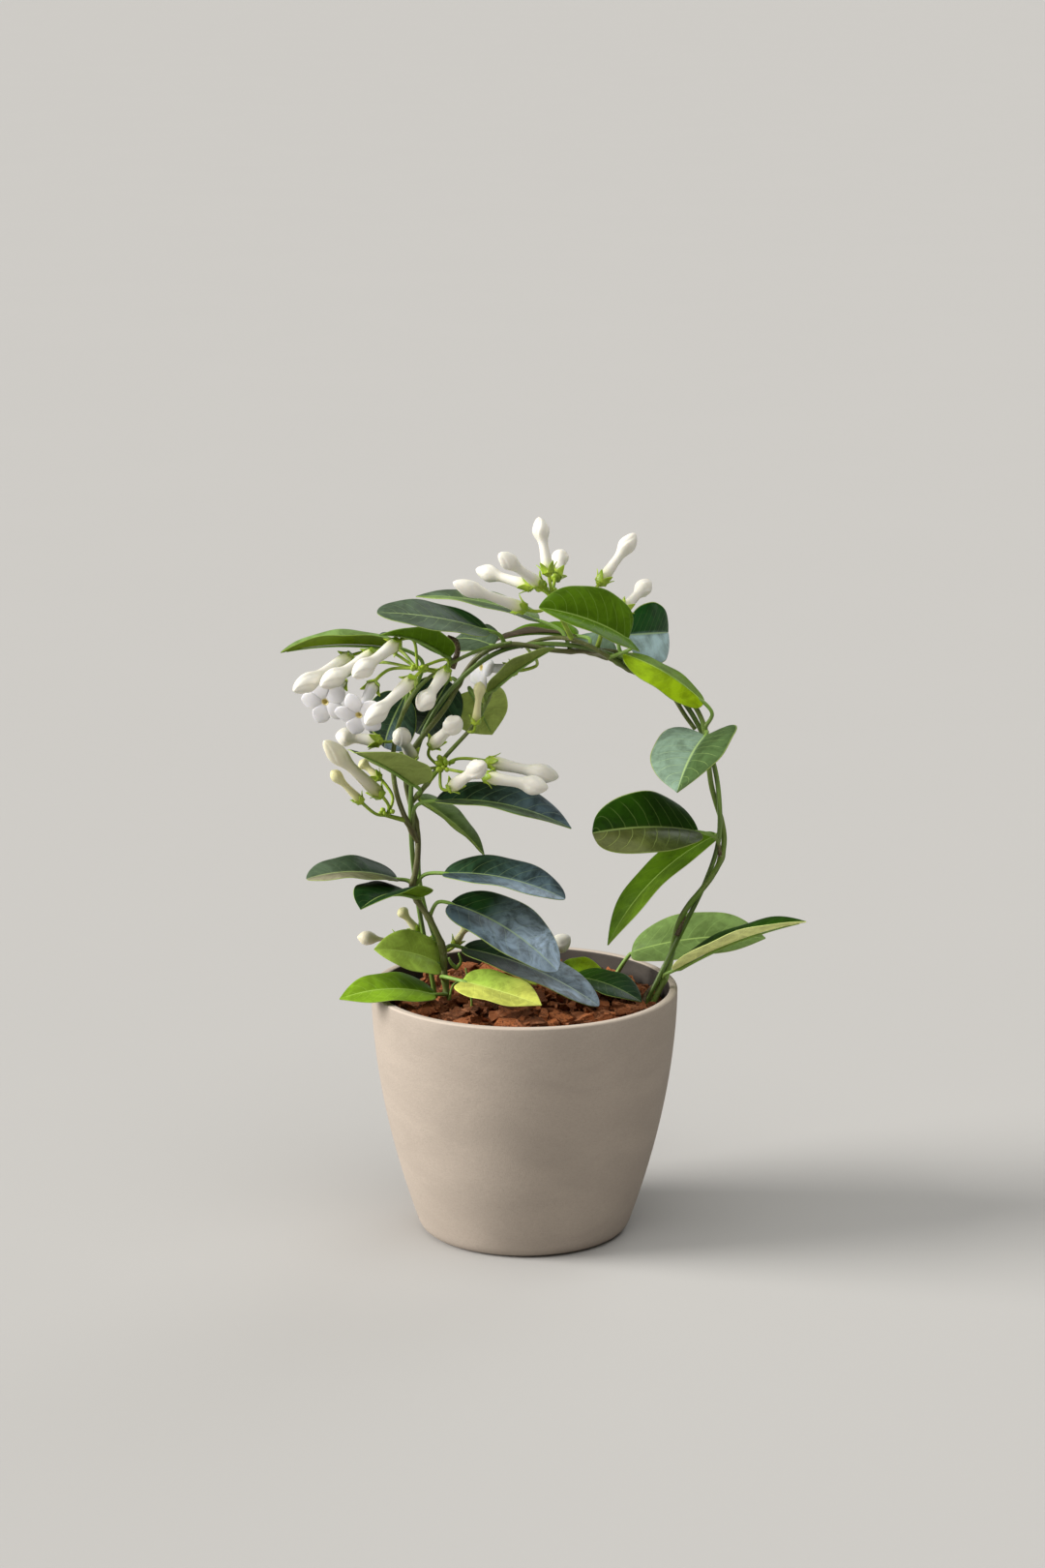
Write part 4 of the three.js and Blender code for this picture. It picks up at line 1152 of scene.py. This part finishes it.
def corolla_form(kind, sizes):
    """A corolla that stands on the origin: a waxy tube with a twisted head, or with five petals spread."""
    profile = smooth_line([(share * FORM_LENGTH, radius) for share, radius in COROLLA[kind]], 1.1)[:, ::-1]
    material = petal_materials()[kind]
    slender = kind in ("young", "slim")
    sides = 30 if slender else 50
    if kind == "open":
        throat = [(radius, FORM_LENGTH + height) for radius, height in THROAT]
        body = turned("corolla_open", np.vstack([profile, throat]), sides)
    else:
        body = turned(f"corolla_{kind}", profile, sides)
    rows = places(body) / MM
    share = rows[:, 2] / FORM_LENGTH
    radius = np.hypot(rows[:, 0], rows[:, 1])
    turn = np.arctan2(rows[:, 1], rows[:, 0])
    if kind == "open":
        throat_depth = np.where((share > 0.9) & (radius < 2.4), 0.8, 0.0)
        dress(body, material, share=share, throat=throat_depth, age=0)
        petals = [petal_form(sizes, number, material) for number in range(LOBES)]
        return join([body, *petals], "corolla_open")
    head_from, head_rise, ridge, ridge_edge = 0.58, 0.14, 0.06 if slender else 0.12, 1.8
    head = np.clip((share - head_from) / head_rise, 0, 1)
    lobe = (LOBES * (turn - sizes.twist * (share - 0.55) / 0.45) / (2 * math.pi)) % 1.0
    radius *= 1 + head * ridge * (0.5 - lobe ** ridge_edge)
    move_to(body, np.stack([radius * np.cos(turn), radius * np.sin(turn), rows[:, 2]], axis=1) * MM)
    dress(body, material, share=share, throat=0, age=0)
    return body


def ring_part(number, columns, rows, layout, thickness):
    """One of the thin parts round a flower: a grid laid out by a rule, turned to its place and thickened."""
    deselect()
    bpy.ops.mesh.primitive_grid_add(x_subdivisions=columns, y_subdivisions=rows, size=2)
    sheet = bpy.context.object
    flat = places(sheet)
    turn = Matrix.Rotation(2 * math.pi * number / LOBES, 3, "Z")
    move_to(sheet, layout(flat[:, 0], flat[:, 1]) @ np.array(turn).T * MM)
    apply(sheet, "SOLIDIFY", thickness=thickness * MM, offset=0)
    apply(sheet, "SUBSURF", levels=1, render_levels=1)
    return sheet


def petal_form(sizes, number, material):
    """One of an open flower's five petals, curved back a little at its tip."""
    inner, reach, widest = 1.9, 36 * sizes.petal, 5.9
    below, rise, droop, cup = 0.7, 1.6, 1.8, 1.1

    def layout(v, y):
        s = 1 - ((1 - y) / 2) ** 1.5
        radial = inner + (reach - inner) * s
        half = np.minimum(0.74 * radial, widest * np.sqrt(1 - np.clip((s - 0.4) / 0.6, 0, 1) ** 2.4) + 0.3)
        height = FORM_LENGTH - below + rise * (1 - np.exp(-5 * s)) - droop * s ** 3
        height = height - cup * v * v * s + 0.6 * v * s
        return np.stack([half * v, radial - 0.6 * v * v * s, height], axis=1)

    sheet = ring_part(number, 8, 9, layout, 0.7)
    throat = np.clip(1.6 - np.hypot(*(places(sheet)[:, :2].T / MM)) / 1.6, 0, 1)
    dress(sheet, material, share=1, throat=throat, age=0)
    return sheet


def calyx_form():
    """A calyx that stands on the origin: a cup and five pointed sepals that spread."""
    widest, foot, spread, length = 3.5, 3.5, 3.0, 8.6

    def layout(v, y):
        s = (y + 1) / 2
        half = widest * np.clip(1 - s, 0, 1) ** 0.75 + 0.12
        radial = foot + 0.8 * s + spread * s ** 2
        height = -1.8 + length * s - 1.2 * s * s
        return np.stack([half * v, radial - 0.9 * v * v * (1 - s), height], axis=1)

    cup = turned("calyx", CUP, 20)
    dress(cup, green_material(), age=0.1)
    sepals = [ring_part(number, 4, 6, layout, 0.55) for number in range(LOBES)]
    for sepal in sepals:
        dress(sepal, green_material(), age=0)
    return join([cup, *sepals], "calyx")


_forms = {}


def form(kind):
    """A form to copy, modelled the first time that it is asked for."""
    sizes = bpy.context.scene.jasmine_plant
    if kind not in _forms:
        _forms[kind] = calyx_form() if kind == "calyx" else corolla_form(kind, sizes)
    return _forms[kind]


def corolla(name, kind, foot, tip, girth=1.0):
    """A copy of a corolla, run from its foot to its tip and slimmed to its girth."""
    made = copy_of(form(kind), name)
    made.data.transform(Matrix.Diagonal((girth, girth, 1, 1)))
    return aimed(made, foot, tip, FORM_LENGTH)


def flower_foot(start, kind, foot, tip):
    """A flower's own stalk and calyx."""
    below, swell, swell_reach, age = 5.2, 0.5, 1.5, 0.15
    axis = unit(np.subtract(tip, foot))
    size = 0.75 if kind == "young" else 1.0
    line = stalk_line(start, np.array(foot) - below * size * axis, axis)
    radii = np.linspace(0.95, 1.15, len(line))
    radii = radii + swell * np.exp(-np.linalg.norm(line - line[0], axis=1) / swell_reach)
    stalk = tube("flower_stalk", line, radii, 8, green_material(), age)
    calyx = copy_of(form("calyx"), "calyx_copy")
    calyx.data.transform(Matrix.Diagonal((size, size, size, 1)))
    aimed(calyx, foot, np.array(foot) + axis * FORM_LENGTH, FORM_LENGTH)
    return [stalk, calyx]


def small_buds(middle, seed, count, reach):
    """Tiny green buds and bracts crowded on the hub of a spray."""
    foot_radius, swell, thinning, point = 0.7, 1.3, 0.45, 0.15
    rng = random.Random(seed)
    made = []
    for _ in range(count):
        away = unit([rng.uniform(-1, 1), rng.uniform(-1, 0.5), rng.uniform(-0.3, 1)])
        start = np.array(middle, float) + away * rng.uniform(0, 3)
        tip = start + away * reach * rng.uniform(0.7, 1.2)
        line = smooth_line([start, (start + tip) / 2 + np.array([0, 0, 0.4]), tip], 0.6)
        share = np.linspace(0, 1, len(line))
        belly = np.sin(math.pi * np.clip(share * 1.1 - 0.25, 0, 1)) ** 1.2
        radii = foot_radius + swell * belly - thinning * share
        made.append(tube("small_bud", line, np.maximum(radii, point), 8, green_material(), 0))
    return made


def stubs(node):
    """The ends of old stems and the stray shoots of a stem."""
    made = []
    for points, root, tip, age in STUBS[node]:
        line = smooth_line(points, 1.0)
        ages = np.linspace(age, age, len(line))
        made.append(tube("stub", line, np.linspace(root, tip, len(line)), 10, stem_material(), ages))
    return made


def drop_forms():
    """Removes the forms once all copies are made."""
    for piece in _forms.values():
        bpy.data.objects.remove(piece)
    _forms.clear()


# The camera: its place in metres, degrees down and round, its lens and sensor in millimetres.
CAMERA = {"place": (0, -2.50053, 0.87629), "down": 13.0014, "turn": 0.028, "lens": 91.29, "sensor": 36.0}
SKY_STRENGTH = 0.14
# Name, where it shines from, strength, spread in radians, colour.
LIGHTS = [
    ("key", (-1.8, -0.2, 0.8), 4.6, 0.55, (1.0, 0.98, 0.95)),
    ("top", (0.1, -0.6, 1.8), 1.7, 1.0, (1.0, 1.0, 0.98)),
    ("back", (0.9, 1.5, 1.2), 0.5, 0.6, (0.95, 0.98, 1.0)),
]


class JASMINE_OT_stage(bpy.types.Operator):
    """Lay the pale floor, hang the soft lights and set the camera"""

    bl_idname = "jasmine.stage"
    bl_label = "Stage"

    def execute(self, context):
        deselect()
        bpy.ops.mesh.primitive_plane_add(size=80)
        floor = context.object
        floor.name = "floor"
        paint = Paint("floor_paper")
        tone = Vector(context.scene.jasmine_finishes.floor)
        shade = paint.mix(paint.noise(3, detail=3), tone * 0.985, tone)
        paint.set(Base_Color=shade, Roughness=0.9, Specular_IOR_Level=0.2)
        finish_with(floor, paint.material)
        world = bpy.data.worlds.new("studio")
        context.scene.world = world
        world.use_nodes = True
        sky = world.node_tree.nodes["Background"]
        sky.inputs["Color"].default_value = (1.0, 0.96, 0.90, 1)
        sky.inputs["Strength"].default_value = SKY_STRENGTH
        for name, place, strength, spread, colour in LIGHTS:
            bpy.ops.object.light_add(type="SUN", location=place)
            lamp = context.object
            lamp.name = name
            lamp.data.energy = strength
            lamp.data.angle = spread
            lamp.data.color = colour
            lamp.rotation_euler = (-Vector(place)).to_track_quat("-Z", "Y").to_euler()
        bpy.ops.object.camera_add(location=CAMERA["place"])
        camera = context.object
        camera.rotation_euler = (math.radians(90 - CAMERA["down"]), 0, math.radians(CAMERA["turn"]))
        camera.data.sensor_width = CAMERA["sensor"]
        camera.data.lens = CAMERA["lens"]
        camera.data.dof.use_dof = False
        context.scene.camera = camera
        context.scene.view_settings.view_transform = "Standard"
        return {"FINISHED"}


class JASMINE_OT_pot(bpy.types.Operator):
    """Turn the pot"""

    bl_idname = "jasmine.pot"
    bl_label = "Pot"

    def execute(self, context):
        sizes = context.scene.jasmine_pot
        rim, height = sizes.rim / MM, sizes.height / MM
        wall, floor, waist, swell, foot, corner = 5.5, 6.0, 0.676 * rim, 1.85, 61.0, 9.0

        def radius(z):
            return rim - (rim - waist) * (1 - np.asarray(z) / height) ** swell

        low = [(0.5, 0), (20, 0), (45, 0), (foot - 2, 0), (foot, 0)]
        for t in np.linspace(0, 1, 8)[1:]:
            r = (1 - t) ** 2 * foot + 2 * t * (1 - t) * (foot + 0.8 * corner) + t * t * radius(corner)
            low.append((float(r), corner * t * t))
        rise = np.linspace(corner, height - 1.4, 30)[1:]
        outer = [(float(radius(z)), z) for z in rise]
        round_edge = [
            (rim - 0.15, height - 0.7), (rim - 0.6, height - 0.2), (rim - 1.4, height),
            (rim - wall / 2, height), (rim - wall + 1.4, height), (rim - wall + 0.6, height - 0.2),
            (rim - wall + 0.1, height - 0.8),
        ]
        inner = [(float(radius(z)) - wall, z) for z in np.linspace(height - 2, floor + 4, 24)]
        base = [(float(radius(floor)) - wall - 2, floor), (40, floor), (0.5, floor)]
        pot = turned("pot_fine", low + outer + round_edge + inner + base, sizes.sides)
        finish_with(pot, finish("pot", pot_stone, context.scene.jasmine_finishes.pot))
        only(pot)
        bpy.ops.object.shade_smooth_by_angle(angle=math.radians(50))
        settle(pot, "pot", "pot")
        return {"FINISHED"}


# The chips of two layers: the margin they keep from the wall, their lengths as shares of a middling one, the
# height and the gain in length of each layer, and how far they tilt and roll, in radians.
MULCH = {
    "margin": 7.5, "lengths": (0.4, 0.55, 0.7, 0.85, 1.05), "upper": 155.6, "upper_gain": 1.1, "lower": 152.6,
    "lower_gain": 0.9, "tilt": 0.4, "roll": 0.25, "shapes": 9,
}


class JASMINE_OT_mulch(bpy.types.Operator):
    """Finish the soil and strew the bark chips over it"""

    bl_idname = "jasmine.mulch"
    bl_label = "Soil and mulch"

    def execute(self, context):
        sizes = context.scene.jasmine_pot
        soil = frame["nodes"]["soil"]
        finish_with(soil, finish("soil", soil_finish))
        material = finish("bark", bark_finish, context.scene.jasmine_finishes.bark)
        low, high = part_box("bark_mulch")
        reach = high.x / MM
        bed = self.bed(low.z / MM, reach)
        rng = random.Random(11)
        forms = [self.chip(seed) for seed in range(MULCH["shapes"])]
        chips = [bed]
        count = sizes.chips
        for i in range(count):
            upper = i % 5 > 2
            spread = math.sqrt((i + 0.5) / count)
            out = spread * (reach - MULCH["margin"])
            turn = i * GOLDEN_TURN + rng.uniform(-0.1, 0.1)
            gain = MULCH["upper_gain"] if upper else MULCH["lower_gain"]
            size = sizes.chip / MM * rng.choice(MULCH["lengths"]) * gain
            height = MULCH["upper"] + rng.uniform(-0.8, 1.4) if upper else MULCH["lower"] + rng.uniform(-1, 1)
            chip = copy_of(forms[rng.randrange(len(forms))], "chip")
            tilt = Matrix.Rotation(rng.uniform(0, 2 * math.pi), 4, "Z")
            tilt = tilt @ Matrix.Rotation(rng.gauss(0, MULCH["tilt"]), 4, "X")
            tilt = tilt @ Matrix.Rotation(rng.gauss(0, MULCH["roll"]), 4, "Y")
            spot = Matrix.Translation(Vector((out * math.cos(turn), out * math.sin(turn), height)) * MM)
            chip.data.transform(spot @ tilt @ Matrix.Scale(size * MM, 4))
            mark(chip, "tone", rng.random())
            chips.append(chip)
        for chip in forms:
            bpy.data.objects.remove(chip)
        mulch = join(chips, "bark_mulch_fine")
        finish_with(mulch, material)
        only(mulch)
        bpy.ops.object.shade_smooth_by_angle(angle=math.radians(32))
        settle(mulch, "bark_mulch", "bark")
        return {"FINISHED"}

    def bed(self, low, reach):
        """The crumbly bed under the chips, dished a little to the wall."""
        rng = random.Random(5)
        edge, level, rough = 151.5, 153.0, 1.1
        profile = [(0.5, low), (reach * 0.5, low), (reach - 1.5, low), (reach, low + 1)]
        profile += [(reach, edge), (reach - 3, 152.6)]
        profile += [(r, level) for r in np.linspace(reach - 8, 1, 22)]
        bed = turned("bed", profile, 64)
        rows = places(bed)
        top = rows[:, 2] > 151 * MM
        rows[top, 2] += np.array([rng.uniform(-rough, rough) for _ in range(int(top.sum()))]) * MM
        move_to(bed, rows)
        mark(bed, "tone", 0.05)
        return bed

    def chip(self, seed):
        """One chip of bark, a unit long: a block broken up at random, tapered, thinned to its ends and bent a
        little.
        """
        rng = random.Random(100 + seed)
        deselect()
        bpy.ops.mesh.primitive_cube_add(size=1, scale=(1, rng.uniform(0.28, 0.6), rng.uniform(0.22, 0.36)))
        chip = bpy.context.object
        bpy.ops.object.transform_apply(location=False, rotation=False, scale=True)
        bpy.ops.object.mode_set(mode="EDIT")
        bpy.ops.mesh.select_all(action="SELECT")
        bpy.ops.mesh.subdivide(number_cuts=3, fractal=1.6, fractal_along_normal=0.3, seed=seed)
        bpy.ops.object.mode_set(mode="OBJECT")
        rows = places(chip)
        taper = 1 - rng.uniform(0.2, 0.5) * np.clip(rows[:, 0] + 0.5, 0, 1)
        rows[:, 1] *= taper
        rows[:, 2] *= 1 - 0.25 * np.abs(rows[:, 0])
        rows[:, 1] += rng.uniform(-0.25, 0.25) * rows[:, 0] ** 2
        move_to(chip, rows)
        return chip


class JASMINE_OT_hoop(bpy.types.Operator):
    """Bend the wire hoop"""

    bl_idname = "jasmine.hoop"
    bl_label = "Hoop"

    def execute(self, context):
        radius = context.scene.jasmine_plant.wire / MM
        wire = finish("wire", wire_finish, context.scene.jasmine_finishes.wire)
        hoop = tube("hoop_fine", hoop_line()[::3], radius, 16, wire)
        settle(hoop, "hoop", "hoop_wire")
        return {"FINISHED"}


def knots():
    """Where leaves and sprays spring, which swells the stem there."""
    hints = [leaf.spring for leaf in LEAVES.values()] + [spray[0] for spray in SPRAYS.values()]
    return np.array([nearest(STEM_POINTS, hint) for hint in hints])


def stem_piece(key, age):
    """One stem with its knots, drawn from its root to its tip."""
    line, root, tip = STEMS[key]
    radii = np.linspace(root, tip, len(line))
    away = np.min(np.linalg.norm(line[:, None, :] - knots()[None, :, :], axis=2), axis=1)
    swell, swell_reach = 0.3, 2.6
    radii = radii * (1 + swell * np.exp(-((away / swell_reach) ** 2)))
    share = np.linspace(0, 1, len(line))
    return tube(f"stem_{key}", line, radii, 12, stem_material(), np.interp(share, *age))


class JASMINE_OT_stems(bpy.types.Operator):
    """Wind the two stems round the hoop, with the branches of the left one and what grows on them"""

    bl_idname = "jasmine.stems"
    bl_label = "Stems"

    def execute(self, context):
        sizes = context.scene.jasmine_plant
        parts = [
            stem_piece("left", ((0, 0.15, 0.25, 0.5, 0.8, 1), (0.5, 0.5, 0.7, 0.5, 0.7, 0.4))),
            stem_piece("outer", ((0, 0.3, 1), (0.8, 0.5, 0.25))),
            stem_piece("inner", ((0, 1), (0.6, 0.3))),
            stem_piece("trail", ((0, 0.2, 1), (0.3, 0.05, 0.2))),
        ]
        for name, kind, foot, tip, start in STEM_FLOWERS:
            parts += flower_foot(nearest(STEM_POINTS, start), kind, foot, tip)
            if not name:
                parts.append(corolla("pale_bud", kind, foot, tip))
        parts.append(leaf_piece("small_leaf", SMALL_LEAF, 3, sizes))
        parts += stubs("vine_left")
        settle(join(parts, "vine_left_fine"), "vine_left", "stem")
        right = stem_piece("right", ((0, 0.2, 0.4, 0.7, 1), (0.35, 0.15, 0.25, 0.35, 0.7)))
        settle(join([right, *stubs("vine_right")], "vine_right_fine"), "vine_right", "stem")
        return {"FINISHED"}


class JASMINE_OT_leaves(bpy.types.Operator):
    """Shape every leaf with its stalk"""

    bl_idname = "jasmine.leaves"
    bl_label = "Leaves"

    def execute(self, context):
        sizes = context.scene.jasmine_plant
        for number, (name, leaf) in enumerate(LEAVES.items()):
            settle(leaf_piece(name + "_new", leaf, number, sizes), name, leaf.slot)
        for number, (name, (line, radius, leaf, *side_leaves)) in enumerate(SHOOT_LEAVES.items()):
            parts = [leaf_piece(name + "_new", leaf, 40 + number, sizes, line, radius)]
            for side in side_leaves:
                stalk = [nearest(smooth_line(line), side.base), side.base]
                parts.append(leaf_piece(name + "_side", side, 50 + number, sizes, stalk, sizes.petiole / MM))
            if name in SHOOT_BUDS:
                start, foot, tip = SHOOT_BUDS[name]
                parts += flower_foot(start, "bud", foot, tip)
                parts.append(corolla("shoot_bud", "bud", foot, tip))
            settle(join(parts, name + "_new"), name, leaf.slot)
        return {"FINISHED"}


class JASMINE_OT_sprays(bpy.types.Operator):
    """Shape the sprays: their stalks, calyces and small buds"""

    bl_idname = "jasmine.sprays"
    bl_label = "Sprays"

    def execute(self, context):
        for number, (name, (spring, hub, flowers)) in enumerate(SPRAYS.items()):
            start = nearest(STEM_POINTS, spring)
            line = stalk_line(start, hub, unit(np.subtract(hub, start)))
            parts = [tube(name, line[:-2], np.linspace(1.7, 1.35, len(line) - 2), 10, green_material(), 0.35)]
            for own, kind, foot, tip in flowers:
                parts += flower_foot(hub, kind, foot, tip)
                if not own:
                    parts.append(corolla(f"{name}_corolla", kind, foot, tip, GIRTH.get(name, 1)))
            middle, count, length = BUDLETS[name]
            parts += small_buds(middle, number, count, length)
            settle(join(parts, name + "_new"), name, "spray")
        return {"FINISHED"}


class JASMINE_OT_flowers(bpy.types.Operator):
    """Set the white buds and the open flowers on their stalks"""

    bl_idname = "jasmine.flowers"
    bl_label = "Flowers"

    def execute(self, context):
        rows = [(1, *row[:4]) for row in STEM_FLOWERS]
        for spray, (_, _, flowers) in SPRAYS.items():
            rows += [(GIRTH.get(spray, 1), *row) for row in flowers]
        for girth, name, kind, foot, tip in rows:
            if name:
                settle(corolla(name + "_new", kind, foot, tip, girth), name, "petal")
        drop_forms()
        return {"FINISHED"}


OPERATORS = (
    JASMINE_OT_stage, JASMINE_OT_pot, JASMINE_OT_mulch, JASMINE_OT_hoop, JASMINE_OT_stems, JASMINE_OT_leaves,
    JASMINE_OT_sprays, JASMINE_OT_flowers,
)
GROUPS = {"jasmine_pot": PotSizes, "jasmine_plant": PlantSizes, "jasmine_finishes": Finishes}


class JASMINE_PT_panel(bpy.types.Panel):
    """Sizes, colours and steps of the potted jasmine"""

    bl_idname = "JASMINE_PT_panel"
    bl_label = "Potted Jasmine"
    bl_space_type = "VIEW_3D"
    bl_region_type = "UI"
    bl_category = "Jasmine"

    def draw(self, context):
        for name, group in GROUPS.items():
            box = self.layout.box()
            for key in group.__annotations__:
                box.prop(getattr(context.scene, name), key)
        for operator in OPERATORS:
            self.layout.operator(operator.bl_idname)


def register():
    for group in (*GROUPS.values(), *OPERATORS, JASMINE_PT_panel):
        bpy.utils.register_class(group)
    for name, group in GROUPS.items():
        setattr(bpy.types.Scene, name, PointerProperty(type=group))


def unregister():
    for name in GROUPS:
        delattr(bpy.types.Scene, name)
    for group in (JASMINE_PT_panel, *reversed(OPERATORS), *reversed(GROUPS.values())):
        bpy.utils.unregister_class(group)


def main():
    register()
    for operator in OPERATORS:
        family, step = operator.bl_idname.split(".")
        getattr(getattr(bpy.ops, family), step)()


if __name__ == "__main__":
    main()
